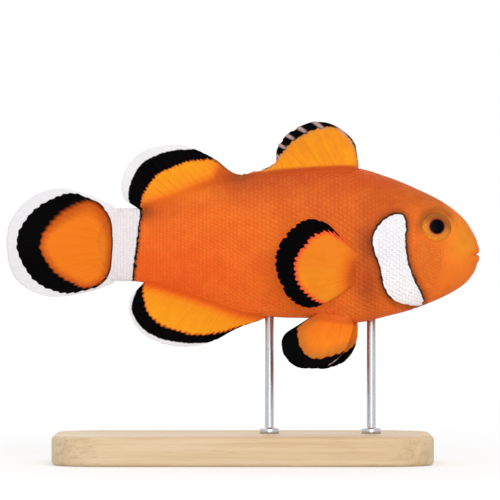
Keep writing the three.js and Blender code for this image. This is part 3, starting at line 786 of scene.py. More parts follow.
def scale_columns(surface):
    """Rows of the surface grid at which the columns of scales stand, with their spacing."""
    length = np.concatenate([[0.0], np.cumsum(surface.down.mean(axis=1))])[:SKIN_ROWS]
    middle_x = surface.points[:, SKIN_COLUMNS // 4, 0]
    places, spacings = [], []
    at = 0.0
    while at < length[-1] - LAST_SCALE_GAP:
        row = np.interp(at, length, np.arange(SKIN_ROWS))
        x = np.interp(row, np.arange(SKIN_ROWS), middle_x)
        spacing = np.interp(x, *zip(*SCALE_SPACING))
        places.append(row)
        spacings.append(spacing)
        at += spacing
    return np.array(places), np.array(spacings)


def scaled_reach(points):
    """How far, in mm, each place lies inside the scaled skin: snout, eye rim and tail are bare."""
    x, z = points[..., 0], points[..., 2]
    from_snout = NAKED_SNOUT_X - 0.35 * np.maximum(THROAT_LEVEL - z, 0.0) - x
    from_tail = x - SCALED_TAIL_X - 0.12 * (z - TAIL_MIDDLE) ** 2
    from_eye = eye_distance(x, z) - BARE_ROUND_EYE
    return np.minimum(np.minimum(from_snout, from_tail), from_eye)


def make_scales(surface, material):
    """Scales in staggered columns, in four pieces: right and left, front and rear."""
    rng = np.random.default_rng(SCALE_SEED)
    rows, spacings = scale_columns(surface)
    row, number = np.meshgrid(rows, np.arange(SCALE_ROWS_ROUND), indexing="ij")
    spacing = np.repeat(spacings[:, None], SCALE_ROWS_ROUND, axis=1)
    shift = 0.5 * (np.arange(len(rows)) % 2)[:, None]
    number = number + BELLY_OFFSET + shift + rng.normal(0.0, COLUMN_SCATTER, row.shape)
    column = number * SKIN_COLUMNS / SCALE_ROWS_ROUND
    row = row + rng.normal(0.0, ROW_SCATTER, row.shape)
    kept = scaled_reach(surface.sample(surface.points, row, column)) > 0.0
    roots = np.stack([row[kept], column[kept], spacing[kept]])
    right_side = (roots[1] % SKIN_COLUMNS) < SKIN_COLUMNS / 2
    ahead = roots[0] < np.median(roots[0])
    for side, on_side in (("right", right_side), ("left", ~right_side)):
        for end, at_end in (("front", ahead), ("rear", ~ahead)):
            one_coat(f"scales_{side}_{end}", surface, material, roots[:, on_side & at_end], rng)


def whiteness(row, column, surface):
    """1 for scales that stand on the white marks and 0 for the orange ones."""
    marks, _ = skin_marks(surface.sample(surface.points, row, column))
    return np.maximum(smooth(marks["bar"], -0.5, 0.3), smooth(marks["band"], -0.5, 0.3))


def scale_outline():
    """A scale's points, lengthwise and across, from -1 to 1 and rounded at the corners."""
    ticks = np.linspace(-1.0, 1.0, SCALE_SIDE)
    a, b = (grid.ravel() for grid in np.meshgrid(ticks, ticks, indexing="ij"))
    return a * np.sqrt(1.0 - b**2 / 2.0), b * np.sqrt(1.0 - a**2 / 2.0)


def rim_order():
    """Indices of a scale's outer points, in order round it."""
    return border_loop(SCALE_SIDE, SCALE_SIDE)


def scale_points(surface, roots, rng):
    """Points of scales, each sunk at its root and lifted at its free edge: the top, then its rim below."""
    row, column, spacing = (part[:, None] for part in roots)
    lengthwise, across = scale_outline()
    down = surface.sample(surface.down, *roots[:2])[:, None]
    around = surface.sample(surface.around, *roots[:2])[:, None]
    half_long = spacing * SCALE_OVERLAP * rng.uniform(*SCALE_SIZES, spacing.shape)
    half_wide = around * SKIN_COLUMNS / SCALE_ROWS_ROUND * SCALE_HALF_WIDTH
    at_row = row + lengthwise * half_long / down
    at_column = column + across * half_wide / around
    ground = surface.sample(surface.points, at_row, at_column)
    normal = surface.sample(surface.normals, at_row, at_column)
    crown = (1.0 - across**2) * 0.3 + 0.7
    raised = smooth(scaled_reach(ground), 0.0, SCALE_FADE)
    raised = raised * (1.0 - WHITE_FLATNESS * whiteness(*roots[:2], surface)[:, None])
    size = spacing / USUAL_SPACING
    lift = SCALE_LIFT * raised * size * crown * smooth(lengthwise, -1.1, 1.0) - SCALE_SINK
    top = ground + normal * lift[..., None]
    rim = rim_order()
    return np.concatenate([top, top[:, rim] - normal[:, rim] * SCALE_THICK], axis=1)


def scale_faces(count, each):
    """Faces of joined scales of this many points each: their tops, walls and floors."""
    rim, per_scale = rim_order(), SCALE_SIDE**2
    step = np.arange(len(rim))
    after = (step + 1) % len(rim)
    walls = np.stack([rim[after], rim[step], per_scale + step, per_scale + after], axis=-1)
    floor = (per_scale + step[::-1])[None, :]
    offset = (np.arange(count) * each)[:, None, None]
    blocks = (grid_faces(SCALE_SIDE, SCALE_SIDE), walls, floor)
    return [(block[None] + offset).reshape(-1, block.shape[1]) for block in blocks]


def one_coat(name, surface, material, roots, rng):
    """Joined scales, each a thin closed lens with a small patch of the map at its root's place."""
    points = scale_points(surface, roots, rng)
    count, each = points.shape[:2]
    faces = scale_faces(count, each)
    flat = np.concatenate([np.full(len(block), number > 0) for number, block in enumerate(faces)])
    lengthwise, across = (np.concatenate([line, line[rim_order()]]) for line in scale_outline())
    spot = np.stack([roots[0] / SKIN_ROWS, (roots[1] % SKIN_COLUMNS) / SKIN_COLUMNS], axis=-1)
    local = np.stack([lengthwise, across], axis=-1) * SCALE_UV / 2
    uv = at_corners((spot[:, None] + local[None]).reshape(-1, 2), faces)
    everything = points.reshape(-1, 3)
    values, tone = skin_marks(everything)
    values["scale_tone"] = np.repeat(rng.uniform(-1.0, 1.0, count), each)
    values["scale_edge"] = np.tile(lengthwise, count)
    coat = new_piece(name, put(everything), faces, material, uv, flat, values, tone)
    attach(coat, "root")


# ---- Fins ----

FIN_STEPS = 72
COLUMNS_PER_RAY = 12
FIN_MAP_WIDTH = 0.48                   # each side of a fin takes this much of its map
FIN_MAP_EDGE = 0.01
FIBRES_PER_RAY = 3.0
FIN_ROOT_DEPTH = 1.4
# A fin swells towards its root, down to a little under the skin.
FIN_FOOT_HEIGHT, FIN_FOOT_DEPTH = 0.75, 0.5
TEETH_PER_RAY = 2
LEADING_RAYS = 5.0
LOW_RAYS_Z = -4.5
SIDE_ROOT_COVER = 1.3                  # this much of a pectoral ray's foot is under the skin
SPINE_TIP_LEAN, SPINE_TIP_WIDTH, SPINE_TIP_LENGTH = 0.2, 0.18, 2.2
WAVES_PER_FIN, WAVE_LAG = 3.1, 1.7     # how the margin of a fin waves from side to side
FAR_OFF = 9.0                          # stands for the distance to a line that a fin doesn't have


def ray_relief(t, share, rays, split):
    """0 between rays and 1 on them. Soft rays split in two, and in two again, towards the margin."""
    off = t * rays % 1.0 - 0.5
    first = 0.2 * split * smooth(share, 0.45, 1.0)
    second = 0.09 * split * smooth(share, 0.78, 1.05)
    width = 0.13 - 0.05 * split * smooth(share, 0.4, 0.9)
    ridges = [bump(off, sign * first + more * second, width) for sign in (-1, 1) for more in (-1, 1)]
    return np.maximum.reduce(ridges)


def saw_teeth(t, rays):
    """Uneven teeth along a fin, from about -0.5 to 0.5, for the edges of its black margin."""
    place = t * rays * TEETH_PER_RAY
    sizes = np.random.default_rng(rays).uniform(0.45, 1.3, rays * TEETH_PER_RAY + 1)
    point = 1.0 - 2.0 * np.abs(place % 1.0 - 0.5)
    return sizes[place.astype(int)] * point - 0.5


def spine_tips(place, depth):
    """1 on the bare tips of the spines, which lean back more than the rest of each spine, and 0 elsewhere."""
    off = (place + SPINE_TIP_LEAN * depth) % 1.0 - 0.5
    return bump(off, 0.0, SPINE_TIP_WIDTH) * smooth(depth, SPINE_TIP_LENGTH, 0.3 * SPINE_TIP_LENGTH)


class FinGrid:
    """A fin in side view: x and z over t, from 0 in front to 1 behind, and share, from the root outwards.

    lean spreads the rays' tips along the margin, at its front and its rear: at less than 1 they sweep back.
    notch is how deep the webs between the rays are cut at the margin, and split how far the rays branch.
    """

    def __init__(self, root, margin, rays, lean, split, notch):
        self.rays = rays
        self.columns = rays * COLUMNS_PER_RAY + 1
        self.t, self.share = np.meshgrid(np.linspace(0, 1, self.columns), np.linspace(0, 1, FIN_STEPS),
                                         indexing="ij")
        first = self.t[:, 0]
        inner = along(root, first)
        outer = along(curve_through(margin), first ** (lean[0] + (lean[1] - lean[0]) * first))
        self.ridge = ray_relief(self.t, self.share, rays, split)
        self.length = np.linalg.norm(outer - inner, axis=1)[:, None]
        sizes = np.random.default_rng(rays + 1).uniform(0.3, 1.6, 2 * rays + 1)
        uneven = sizes[(2 * rays * self.t[:, :1]).astype(int)]
        dip = notch * uneven * (1.0 - self.ridge[:, -1:]) / np.maximum(self.length, 1.0)
        tip = self.share * (1.0 - dip * smooth(self.share, 0.5, 1.0))
        flat = inner[:, None] + tip[..., None] * (outer - inner)[:, None]
        self.x, self.z = flat[..., 0], flat[..., 1]
        self.spots = flat.reshape(-1, 2)
        self.home = along(root, [0.5])[0]
        run, out = inner[-1] - inner[0], outer[self.columns // 2] - inner[self.columns // 2]
        self.mirrored = run[0] * out[1] - run[1] * out[0] > 0.0

    def height(self, base, front_skin):
        """Height over the body. front_skin is how much higher its colour climbs on the first rays."""
        over = base(self.x, self.z) if base else self.share * self.length - SIDE_ROOT_COVER
        return over - front_skin * smooth(self.t * self.rays, LEADING_RAYS, 0.5)


def half_thickness(fin, base, thick=(0.9, 0.26), swell=0.32, ribs=0.05, spine=0.0, foot=0.135, flare=None):
    """Half a fin's thickness. thick is that of its webs at the root and at the margin.

    swell and ribs are how far its rays stand out, as a share of the thickness and in mm, and spine how much
    thicker its front edge is. foot is its swelling on the body and flare any other.
    """
    t, share = fin.t, fin.share
    half = thick[0] / 2 + (thick[1] - thick[0]) / 2 * smooth(share, -0.1, 0.75)
    half = half * (0.8 + swell * fin.ridge * smooth(share, 0.02, 0.25))
    half += ribs * fin.ridge * smooth(share, 0.05, 0.3) * (1.0 - 0.8 * share)
    half += spine * bump(t * fin.rays, 0.35, 0.5) * (1.0 - 0.7 * share)
    if base:
        rise = np.maximum(base(fin.x, fin.z), -FIN_FOOT_DEPTH)
        half += foot * station_at(fin.x)[2] * np.exp(-rise / FIN_FOOT_HEIGHT)
    if flare:
        half += flare(fin.x, fin.z)
    # The edges are rounded off.
    half *= np.sqrt(np.clip(1.0 - share**14, 0.08, 1.0))
    half *= np.sqrt(np.clip(np.minimum(t, 1.0 - t) * fin.rays / 0.35, 0.12, 1.0))
    return half


def fin_faces(fin):
    """The two sides of a fin and the wall round its edge, all facing out."""
    size = fin.columns * FIN_STEPS
    quads = grid_faces(fin.columns, FIN_STEPS)
    step = border_loop(fin.columns, FIN_STEPS)
    after = np.roll(step, -1)
    faces = [quads, quads[:, ::-1] + size, np.stack([after, step, step + size, after + size], axis=-1)]
    return [face[:, ::-1] for face in faces] if fin.mirrored else faces


def fin_marks(fin, black, rim, tooth, height):
    """The named values that a fin's material paints with.

    black has places on the line where the black of its margin begins, and rim on the line where it ends, if
    it ends before the margin.
    """
    teeth = np.tile((tooth * saw_teeth(fin.t[:, 0], fin.rays))[:, None], (1, FIN_STEPS)).ravel()
    marks = tail_marks(fin.spots)
    marks["disc"] += 0.8 * teeth
    marks["patch"] += teeth
    inner = outer = np.full(len(fin.spots), FAR_OFF)
    if black is not None:
        inner = reach_away(fin.spots, curve_through(black), fin.home) + teeth
    if rim is not None:
        outer = -reach_away(fin.spots, curve_through(rim), fin.home)
    return {
        "inner": inner,
        "outer": outer,
        "ray": fin.ridge.ravel(),
        "tip": spine_tips(fin.t * fin.rays, (1.0 - fin.share) * fin.length).ravel(),
        "lead": (fin.t * fin.rays).ravel(),
        "down": fin.z.ravel(),
        "height": height.ravel(),
        **marks,
    }


def straight(x, z):
    return np.zeros_like(x)


def make_fin(name, nodes, material, root, margin, rays, black=None, rim=None, base=None, sway=straight,
             lean=(1.0, 1.0), split=1.0, notch=0.1, tooth=0.35, wave=0.0, front_skin=0.0, **build):
    """One fin: a thin closed plate with raised rays, in place of the CAD nodes named.

    root is a dense curve, and margin, black and rim are a few places each, from front to rear.
    base gives a place's height over the body and sway how far to the left it stands. wave is how far the
    margin waves, tooth the size of the teeth of the black, and build goes to half_thickness.
    """
    grid = FinGrid(root, margin, rays, lean, split, notch)
    x, z, t, share = grid.x, grid.z, grid.t, grid.share
    ripple = wave * share**1.5 * np.sin(t * math.pi * 2 * WAVES_PER_FIN + share * WAVE_LAG)
    middle = sway(x, z) + ripple
    half = half_thickness(grid, base, **build)
    sides = [np.stack([x, y, z], axis=-1).reshape(-1, 3) for y in (middle - half, middle + half)]
    faces = fin_faces(grid)
    spot = np.stack([t.ravel() * FIN_MAP_WIDTH, share.ravel() * (1.0 - 2 * FIN_MAP_EDGE)], axis=-1)
    spot += FIN_MAP_EDGE
    uv = at_corners(np.concatenate([spot, spot + (0.5, 0.0)]), faces)
    marks = fin_marks(grid, black, rim, tooth, grid.height(base, front_skin))
    values = {key: np.tile(data, 2) for key, data in marks.items()}
    # The body's tone near the root, with its painted shade and light in some places.
    tone = np.tile(body_tone(*grid.spots.T), (2, 1))
    fin = new_piece(name, put(np.concatenate(sides)), faces, material, uv, None, values, tone)
    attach(fin, "root")
    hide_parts(*nodes)


FOOT_SHADE = srgb(140, 46, 14)         # the crease where a fin leaves the body
FIN_JITTER = 0.7                       # the edges of a fin's marks wander this far, in mm


def fin_start(name, tone, edge_tone, deep, streak, blend_height, rays, low=None):
    """A fin's own colour: rays and the webs between them, body orange at the root, brighter further out."""
    n = Nodes(name)
    height = n.value("height")
    colour = n.over(tone, edge_tone, height, 0.5, 6.0)
    if low:
        colour = n.over(colour, low, n.value("down"), LOW_RAYS_Z + 2.5, LOW_RAYS_Z, 0.0, 0.8)
    colour = n.over(colour, deep, n.noise(0.45, 3.0, 0.55), 0.35, 0.75, 0.0, 0.3)
    between = n.times(n.math("SUBTRACT", 1.0, n.value("ray")), 0.5 * streak)
    colour = n.mix(between, colour, deep)
    fibres = n.texture("UV", (FIBRES_PER_RAY * rays / FIN_MAP_WIDTH, 2.2, 1.0), 1.0, 2.0, 0.5)
    colour = n.over(colour, deep, fibres, 0.42, 0.68, 0.0, streak)
    colour = n.over(colour, n.colour("tone"), height, blend_height, 0.0)
    colour = n.over(colour, FOOT_SHADE, height, 0.7, 0.0, 0.0, 0.15)
    n.bumps(n.noise(2.4, 2.0), 0.03, 0.4)
    return n, colour, n.swing(n.noise(1.6, 3.0), FIN_JITTER)


def fin_finish(n, colour):
    return n.finish(colour, 0.5, specular=0.018)


def fin_material(name, tone, edge_tone, deep, fringe, fringe_wide=0.4, streak=0.35, blend_height=2.6,
                 rays=15, tips=None, rim=RIM_WHITE, lead=None, low=None):
    """A fin with a black margin inside a pale rim, and a coloured fringe inside the black.

    tips is the colour of spines that cross the black, lead that of the front edge before the black starts
    and low that of the lower rays. deep is the colour between the rays, laid on by streak.
    """
    n, colour, jitter = fin_start(name, tone, edge_tone, deep, streak, blend_height, rays, low)
    inner = n.plus(n.value("inner"), jitter)
    outer = n.plus(n.value("outer"), n.times(jitter, 0.5))
    colour = n.over(colour, fringe, inner, -fringe_wide, -0.05, 0.0, 0.85)
    if lead:
        edge = n.times(n.rise(n.value("inner"), -0.75, -0.3), n.rise(n.value("lead"), 2.9, 1.9))
        colour = n.mix(edge, colour, lead)
    colour = n.over(colour, INK, inner, -0.12, 0.12)
    if tips:
        crossing = n.times(n.rise(n.value("tip"), 0.15, 0.95), n.rise(inner, -0.7, 0.3, 0.0, 0.86))
        colour = n.mix(crossing, colour, tips)
    return fin_finish(n, n.over(colour, rim, outer, 0.1, -0.1))


def tail_fin_material():
    n, colour, jitter = fin_start("tail_fin", BAND_WHITE, RIM_WHITE, srgb(228, 226, 230), 0.5, 0.0, 15)
    return fin_finish(n, paint_tail(n, colour, n.times(jitter, 0.5)))


def root_under(from_x, to_x, back):
    """A fin's root line, a little under the skin of the back or the belly."""
    x = np.linspace(from_x, to_x, 7)
    top, bottom, _ = station_at(x)
    z = top - FIN_ROOT_DEPTH if back else bottom + FIN_ROOT_DEPTH
    return curve_through(np.stack([x, z], axis=-1))


def above_back(x, z):
    return z - station_at(x)[0]


def below_belly(x, z):
    return station_at(x)[1] - z


def make_front_dorsal_fin():
    look = fin_material("dorsal_fin_front", srgb(248, 162, 32), srgb(242, 154, 34), srgb(232, 124, 30),
                        srgb(214, 136, 62), fringe_wide=0.7, streak=0.45, blend_height=0.6, rays=10,
                        tips=srgb(194, 162, 154))
    margin = [(19.6, 14.3), (18.9, 18.2), (16.6, 20.45), (14.2, 21.65), (11.6, 21.65), (7.9, 19.95),
              (5.75, 17.3), (5.45, 15.0), (3.9, 13.9), (1.2, 13.2), (-0.6, 12.7)]
    black = [(19.75, 12.5), (19.0, 17.2), (18.2, 18.85), (16.5, 20.2), (15.2, 20.75), (12.2, 20.3),
             (10.2, 19.4), (8.0, 18.0), (7.0, 16.8), (6.2, 15.9), (5.4, 14.8), (3.9, 13.8), (2.0, 13.6),
             (-1.0, 13.0)]
    make_fin("dorsal_fin_front", ["dorsal_fin_spiny"], look, root_under(19.3, -0.7, back=True), margin,
             rays=10, black=black, base=above_back, lean=(0.44, 0.58), split=0.0, notch=0.15, tooth=0.2,
             wave=0.12, spine=0.12, ribs=0.16)


def make_rear_dorsal_fin():
    look = fin_material("dorsal_fin_rear", srgb(247, 150, 32), srgb(248, 168, 30), srgb(238, 126, 32),
                        srgb(214, 104, 36), fringe_wide=0.35, streak=0.3, blend_height=1.8,
                        lead=srgb(128, 80, 46))
    margin = [(0.6, 12.85), (-0.8, 12.8), (-2.1, 13.35), (-4.9, 15.5), (-9.8, 17.6), (-13.6, 17.65),
              (-17.6, 16.2), (-20.1, 13.0), (-20.5, 9.9), (-19.6, 8.2), (-18.0, 7.5)]
    black = [(2.0, 13.6), (-0.6, 13.2), (-2.1, 13.75), (-4.3, 15.2), (-5.6, 15.3), (-9.5, 14.9),
             (-12.1, 13.9), (-14.4, 12.7), (-16.0, 11.0), (-16.9, 9.0), (-17.2, 7.4), (-16.4, 5.8)]
    rim = [(3.0, 15.0), (-3.0, 15.6), (-6.0, 17.0), (-9.0, 17.05), (-12.1, 16.8), (-14.7, 16.0),
           (-17.1, 14.6), (-18.5, 12.5), (-19.2, 10.5), (-19.3, 8.4), (-18.6, 7.4), (-17.0, 6.4)]
    make_fin("dorsal_fin_rear", ["dorsal_fin_soft"], look, root_under(0.6, -16.9, back=True), margin,
             rays=17, black=black, rim=rim, base=above_back, lean=(0.72, 0.9), tooth=0.22, wave=0.22,
             front_skin=2.7)


def make_anal_fin():
    look = fin_material("anal_fin", srgb(248, 150, 30), srgb(249, 166, 30), srgb(242, 134, 30),
                        srgb(190, 72, 28), fringe_wide=0.4, streak=0.3, blend_height=1.8)
    margin = [(4.0, -11.55), (-1.0, -13.3), (-4.8, -15.3), (-8.9, -16.35), (-13.3, -15.9), (-17.3, -13.8),
              (-19.3, -10.4), (-18.9, -7.9), (-17.2, -6.0)]
    black = [(2.5, -12.2), (-1.2, -13.2), (-2.9, -13.8), (-5.2, -14.2), (-7.3, -14.4), (-9.5, -14.1),
             (-12.3, -13.3), (-14.2, -12.5), (-15.9, -10.8), (-16.7, -8.9), (-16.8, -6.0), (-16.4, -4.0)]
    rim = [(3.0, -14.6), (-3.5, -15.6), (-6.8, -15.7), (-8.7, -15.8), (-11.3, -15.55), (-13.8, -15.0),
           (-16.3, -13.8), (-18.0, -12.0), (-18.8, -10.0), (-18.5, -8.3), (-17.5, -5.9), (-16.6, -4.5)]
    make_fin("anal_fin_piece", ["anal_fin"], look, root_under(4.0, -15.6, back=False), margin, rays=14,
             black=black, rim=rim, base=below_belly, lean=(0.75, 0.9), tooth=0.22, wave=0.2, spine=0.06)


def tail_flare(x, z):
    """The tail fin is thicker where it grows out of the middle of the stalk."""
    return 0.75 * smooth(x, -28.5, -21.5) * smooth(np.abs(z - TAIL_MIDDLE), 5.2, 2.0)


def make_tail_fin():
    root = [(-20.9, 5.9), (-21.4, 1.0), (-20.9, -4.1)]
    margin = [(-22.0, 7.5), (-26.4, 9.4), (-31.5, 10.4), (-36.3, 8.5), (-39.4, 4.6), (-39.96, 0.2),
              (-38.5, -4.8), (-33.6, -7.75), (-26.5, -7.2), (-22.0, -5.7)]
    make_fin("tail_fin", ["caudal_fin"], tail_fin_material(), curve_through(root), margin, rays=15,
             notch=0.08, tooth=0.25, wave=0.25, thick=(1.0, 0.26), swell=0.2, ribs=0.03, flare=tail_flare)


PECTORAL_SPREAD = math.radians(28.0)
PECTORAL_CUP = 0.018
PECTORAL_MID_Z = -2.6
PECTORAL_ROOT_X = 19.6
PECTORAL_RAKE = 0.45                   # how far the root runs forward for each mm up
PECTORAL_DEPTH = 0.5                   # how far the root lies under the skin


def make_pectoral_fins():
    look = fin_material("pectoral_fin", srgb(243, 138, 36), srgb(241, 134, 36), srgb(230, 116, 32),
                        srgb(246, 74, 48), fringe_wide=0.9, streak=0.12, blend_height=3.4, rays=17,
                        low=srgb(246, 148, 34))
    root = [(20.5, -1.3), (19.7, -3.5), (18.6, -6.0)]
    margin = [(19.3, -0.7), (16.7, 1.8), (13.9, 4.6), (10.7, 5.15), (7.6, 3.2), (5.4, -0.9), (5.7, -4.2),
              (8.1, -8.5), (11.4, -9.75), (14.6, -8.5), (17.5, -6.7)]
    black = [(18.6, 0.6), (17.2, 1.5), (15.6, 2.6), (14.4, 3.1), (13.1, 2.85), (11.8, 2.3), (10.5, 1.0),
             (9.4, -0.5), (8.8, -1.7), (8.8, -3.3), (9.0, -4.9), (9.7, -6.3), (10.8, -7.5), (12.0, -8.4),
             (13.3, -9.0), (14.6, -10.5)]
    root_y = side_at(PECTORAL_ROOT_X, PECTORAL_MID_Z) - PECTORAL_DEPTH
    for word, side in (("right", RIGHT), ("left", LEFT)):
        def sway(x, z, side=side):
            up = z - PECTORAL_MID_Z
            out = root_y + (PECTORAL_ROOT_X + PECTORAL_RAKE * up - x) * math.tan(PECTORAL_SPREAD)
            return side * (out - PECTORAL_CUP * up**2)
        make_fin(f"pectoral_{word}", [f"pectoral_fin_{word}"], look, curve_through(root), margin, rays=17,
                 black=black, sway=sway, notch=0.32, tooth=0.42, wave=0.15, thick=(1.0, 0.24), swell=0.12,
                 ribs=0.02)


PELVIC_SPLAY = math.radians(15.0)
PELVIC_ROOT = np.array([16.5, -11.5])
PELVIC_ROOT_Y = 1.7
# The left pelvic fin is a little smaller, and swung and set forward of the right one.
PELVIC_LEFT_SWING = math.radians(17.0)
PELVIC_LEFT_SIZE = 0.87
PELVIC_LEFT_STEP = 0.8


def pelvic_places(places, side):
    """Places along a line of the right pelvic fin, moved to the left fin where that is the side."""
    arm = np.asarray(places, float) - PELVIC_ROOT
    if side == LEFT:
        c, s = math.cos(PELVIC_LEFT_SWING), math.sin(PELVIC_LEFT_SWING)
        arm = PELVIC_LEFT_SIZE * arm @ np.array([[c, s], [-s, c]])
        arm[:, 0] += PELVIC_LEFT_STEP
    return arm + PELVIC_ROOT


def make_pelvic_fins():
    look = fin_material("pelvic_fin", srgb(248, 128, 34), srgb(249, 140, 32), srgb(236, 120, 30),
                        srgb(200, 112, 44), fringe_wide=2.2, streak=0.3, blend_height=0.7, rays=6,
                        rim=srgb(180, 150, 150))
    root = [(18.2, -10.9), (15.5, -10.7), (12.8, -10.4)]
    margin = [(18.7, -12.8), (18.0, -15.2), (16.7, -17.6), (14.4, -19.5), (11.5, -20.0), (8.9, -19.6),
              (6.95, -17.8), (6.7, -14.7), (10.0, -12.2)]
    black = [(19.4, -16.2), (17.0, -17.0), (15.0, -17.8), (12.8, -18.3), (10.9, -17.8), (9.9, -16.5),
             (9.3, -14.6), (9.35, -13.3), (10.0, -12.4), (10.9, -11.6)]
    rim = [(19.6, -15.5), (17.6, -16.65), (16.6, -17.72), (14.4, -19.42), (12.0, -20.9), (8.0, -21.0),
           (5.6, -17.0)]
    for word, side in (("right", RIGHT), ("left", LEFT)):
        def sway(x, z, side=side):
            return side * (PELVIC_ROOT_Y + (PELVIC_ROOT[1] - z) * math.tan(PELVIC_SPLAY))
        make_fin(f"pelvic_{word}", [f"pelvic_fin_{word}"], look, curve_through(pelvic_places(root, side)),
                 pelvic_places(margin, side), rays=6, black=pelvic_places(black, side),
                 rim=pelvic_places(rim, side), sway=sway, base=below_belly, tooth=0.18, wave=0.12,
                 spine=0.12, ribs=0.1, foot=0.04)


# ---- Eyes ----

EYE_RINGS, EYE_SEGMENTS = 40, 72
EYE_WRAP = 0.62                        # the eye's bulge runs back this share of a half turn
EYE_MAP_SIZE = 4.4                     # width of an eye's map, in radii of the eye


def eye_material():
    """A dark pupil in a warm ring, gold below and behind it and darkened above by painted shade of the brow,
    under a clear surface.
    """
    n = Nodes("eye")
    radius, upper = n.value("radius"), n.value("upper")
    above = n.plus(upper, n.times(n.value("ahead"), 0.4))
    gold = n.over(srgb(206, 122, 30), srgb(240, 160, 50), n.noise(3.0, 3.0, 0.6), 0.35, 0.65)
    # Browner above and ahead: painted shade of the brow on the iris.
    iris = n.over(gold, srgb(168, 98, 36), above, -0.9, 0.9)
    # The ring round the pupil is darker above, with painted shade of the brow.
    warm = n.over(srgb(218, 118, 54), srgb(166, 84, 40), above, -0.6, 1.2)
    iris = n.over(iris, warm, radius, 2.0, 1.6)
    # A dark edge round the iris, its own colour, made much darker above by painted shade of the brow.
    rim = n.times(n.rise(radius, 2.25, 2.6), n.rise(above, -1.0, 0.8, 0.15, 0.9))
    iris = n.mix(rim, iris, srgb(142, 74, 22))
    under = n.math("SUBTRACT", radius, n.times(upper, 0.18))
    lid = n.times(n.rise(under, 2.5, 2.8), n.rise(upper, -0.4, -1.4))
    iris = n.mix(lid, iris, srgb(232, 126, 40))
    iris = n.over(iris, srgb(104, 38, 20), radius, 1.55, 1.2, 0.0, 0.9)
    colour = n.over(iris, srgb(0, 0, 8), radius, 1.25, 1.12)
    return n.finish(colour, 0.34, specular=0.02, coat=0.02, coat_roughness=0.05)


def eye_axes(side):
    """Outward, forward and upward directions of an eye, which follows the slope of the head."""
    ahead = side_at(EYE_X + 1, EYE_Z) - side_at(EYE_X - 1, EYE_Z)
    above = side_at(EYE_X, EYE_Z + 1) - side_at(EYE_X, EYE_Z - 1)
    outward = np.array([-ahead / 2, side, -above / 2])
    outward /= np.linalg.norm(outward)
    forward = np.cross(outward, (0.0, 0.0, 1.0)) * side
    forward /= np.linalg.norm(forward)
    return outward, forward, np.cross(forward, outward) * side


def eye_points(middle, outward, forward, upward):
    """Rings of a bulged lens from its front to its back, then the point in front and the one behind."""
    ring = np.linspace(0.0, 1.0, EYE_RINGS)[1:, None] * math.pi * EYE_WRAP
    turn = np.arange(EYE_SEGMENTS)[None, :] * FULL_TURN / EYE_SEGMENTS
    radius = EYE_RADIUS * np.sin(ring)
    rise = EYE_HALF_THICK * np.cos(ring)
    shape = (middle + rise[..., None] * outward + (radius * np.cos(turn))[..., None] * forward
             + (radius * np.sin(turn))[..., None] * upward)
    top = middle + EYE_HALF_THICK * outward
    bottom = middle + EYE_HALF_THICK * math.cos(math.pi * EYE_WRAP) * outward
    return np.vstack([shape.reshape(-1, 3), top, bottom])


def make_eyes():
    material = eye_material()
    rings = EYE_RINGS - 1
    for word, side in (("right", RIGHT), ("left", LEFT)):
        outward, forward, upward = eye_axes(side)
        middle = np.array([EYE_X, side * side_at(EYE_X, EYE_Z), EYE_Z]) - outward * EYE_SEAT
        points = eye_points(middle, outward, forward, upward)
        faces = [grid_faces(rings, EYE_SEGMENTS, wrap=True), *end_fans(rings, EYE_SEGMENTS)]
        if side == RIGHT:
            faces = [face[:, ::-1] for face in faces]
        off = points - middle
        plane = np.stack([off @ forward, off @ upward], axis=-1)
        centre = np.where(off @ outward > -0.2, 0.25, 0.75)[:, None]
        uv = at_corners(plane / (EYE_RADIUS * EYE_MAP_SIZE) + centre, faces)
        ahead, above = points[:, 0] - EYE_X, points[:, 2] - EYE_Z
        values = {"radius": np.hypot(ahead, above), "upper": above, "ahead": ahead}
        eye = new_piece(f"eyeball_{word}", put(points), faces, material, uv, None, values)
        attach(eye, "root")
        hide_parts(f"eye_{word}")


# ---- The display stand ----

BASE_CORNER = 9.0
BASE_EDGE = 0.8
CORNER_STEPS, EDGE_STEPS = 16, 7
ROD_SIDES = 48
COLLAR_HEIGHT, COLLAR_EDGE = 0.9, 0.15
COLLAR_WIDTH = 2.2                     # width of a rod's collar, in widths of the rod


def wood_material():
    """Pale maple with soft, uneven grain along the board."""
    n = Nodes("maple")
    broad = n.noise(0.14, 2.0, 0.5, (0.08, 1.0, 1.5))
    lines = n.noise(1.0, 3.0, 0.6, (0.035, 1.0, 1.2))
    pores = n.noise(3.0, 2.0, 0.6, (0.05, 1.0, 1.0))
    colour = n.over(srgb(229, 205, 168), srgb(217, 188, 147), broad, 0.35, 0.65)
    colour = n.over(colour, srgb(190, 154, 110), lines, 0.42, 0.72, 0.0, 0.45)
    colour = n.over(colour, srgb(168, 130, 88), pores, 0.58, 0.78, 0.0, 0.4)
    n.bumps(pores, 0.02, 0.3)
    return n.finish(colour, n.rise(pores, 0.3, 0.8, 0.42, 0.58), specular=0.4)


def steel_material():
    n = Nodes("brushed_steel")
    lines = n.noise(4.0, 2.0, 0.5, (1.0, 1.0, 0.08))
    colour = n.mix(lines, srgb(176, 179, 184), srgb(206, 208, 212))
    n.bumps(lines, 0.01, 0.3)
    return n.finish(colour, n.rise(lines, 0.3, 0.7, 0.26, 0.36), metallic=1.0)


def base_ring(half_x, half_y, inset, z):
    """The outline of the base with round corners, drawn in by inset."""
    corner = BASE_CORNER * UNIT
    spread = corner - inset
    ring = []
    for quarter in range(4):
        centre_x = (half_x - corner) * (1 if quarter in (0, 3) else -1)
        centre_y = (half_y - corner) * (1 if quarter in (0, 1) else -1)
        for angle in np.linspace(0, math.pi / 2, CORNER_STEPS) + quarter * math.pi / 2:
            ring.append((centre_x + spread * math.cos(angle), centre_y + spread * math.sin(angle), z))
    return ring


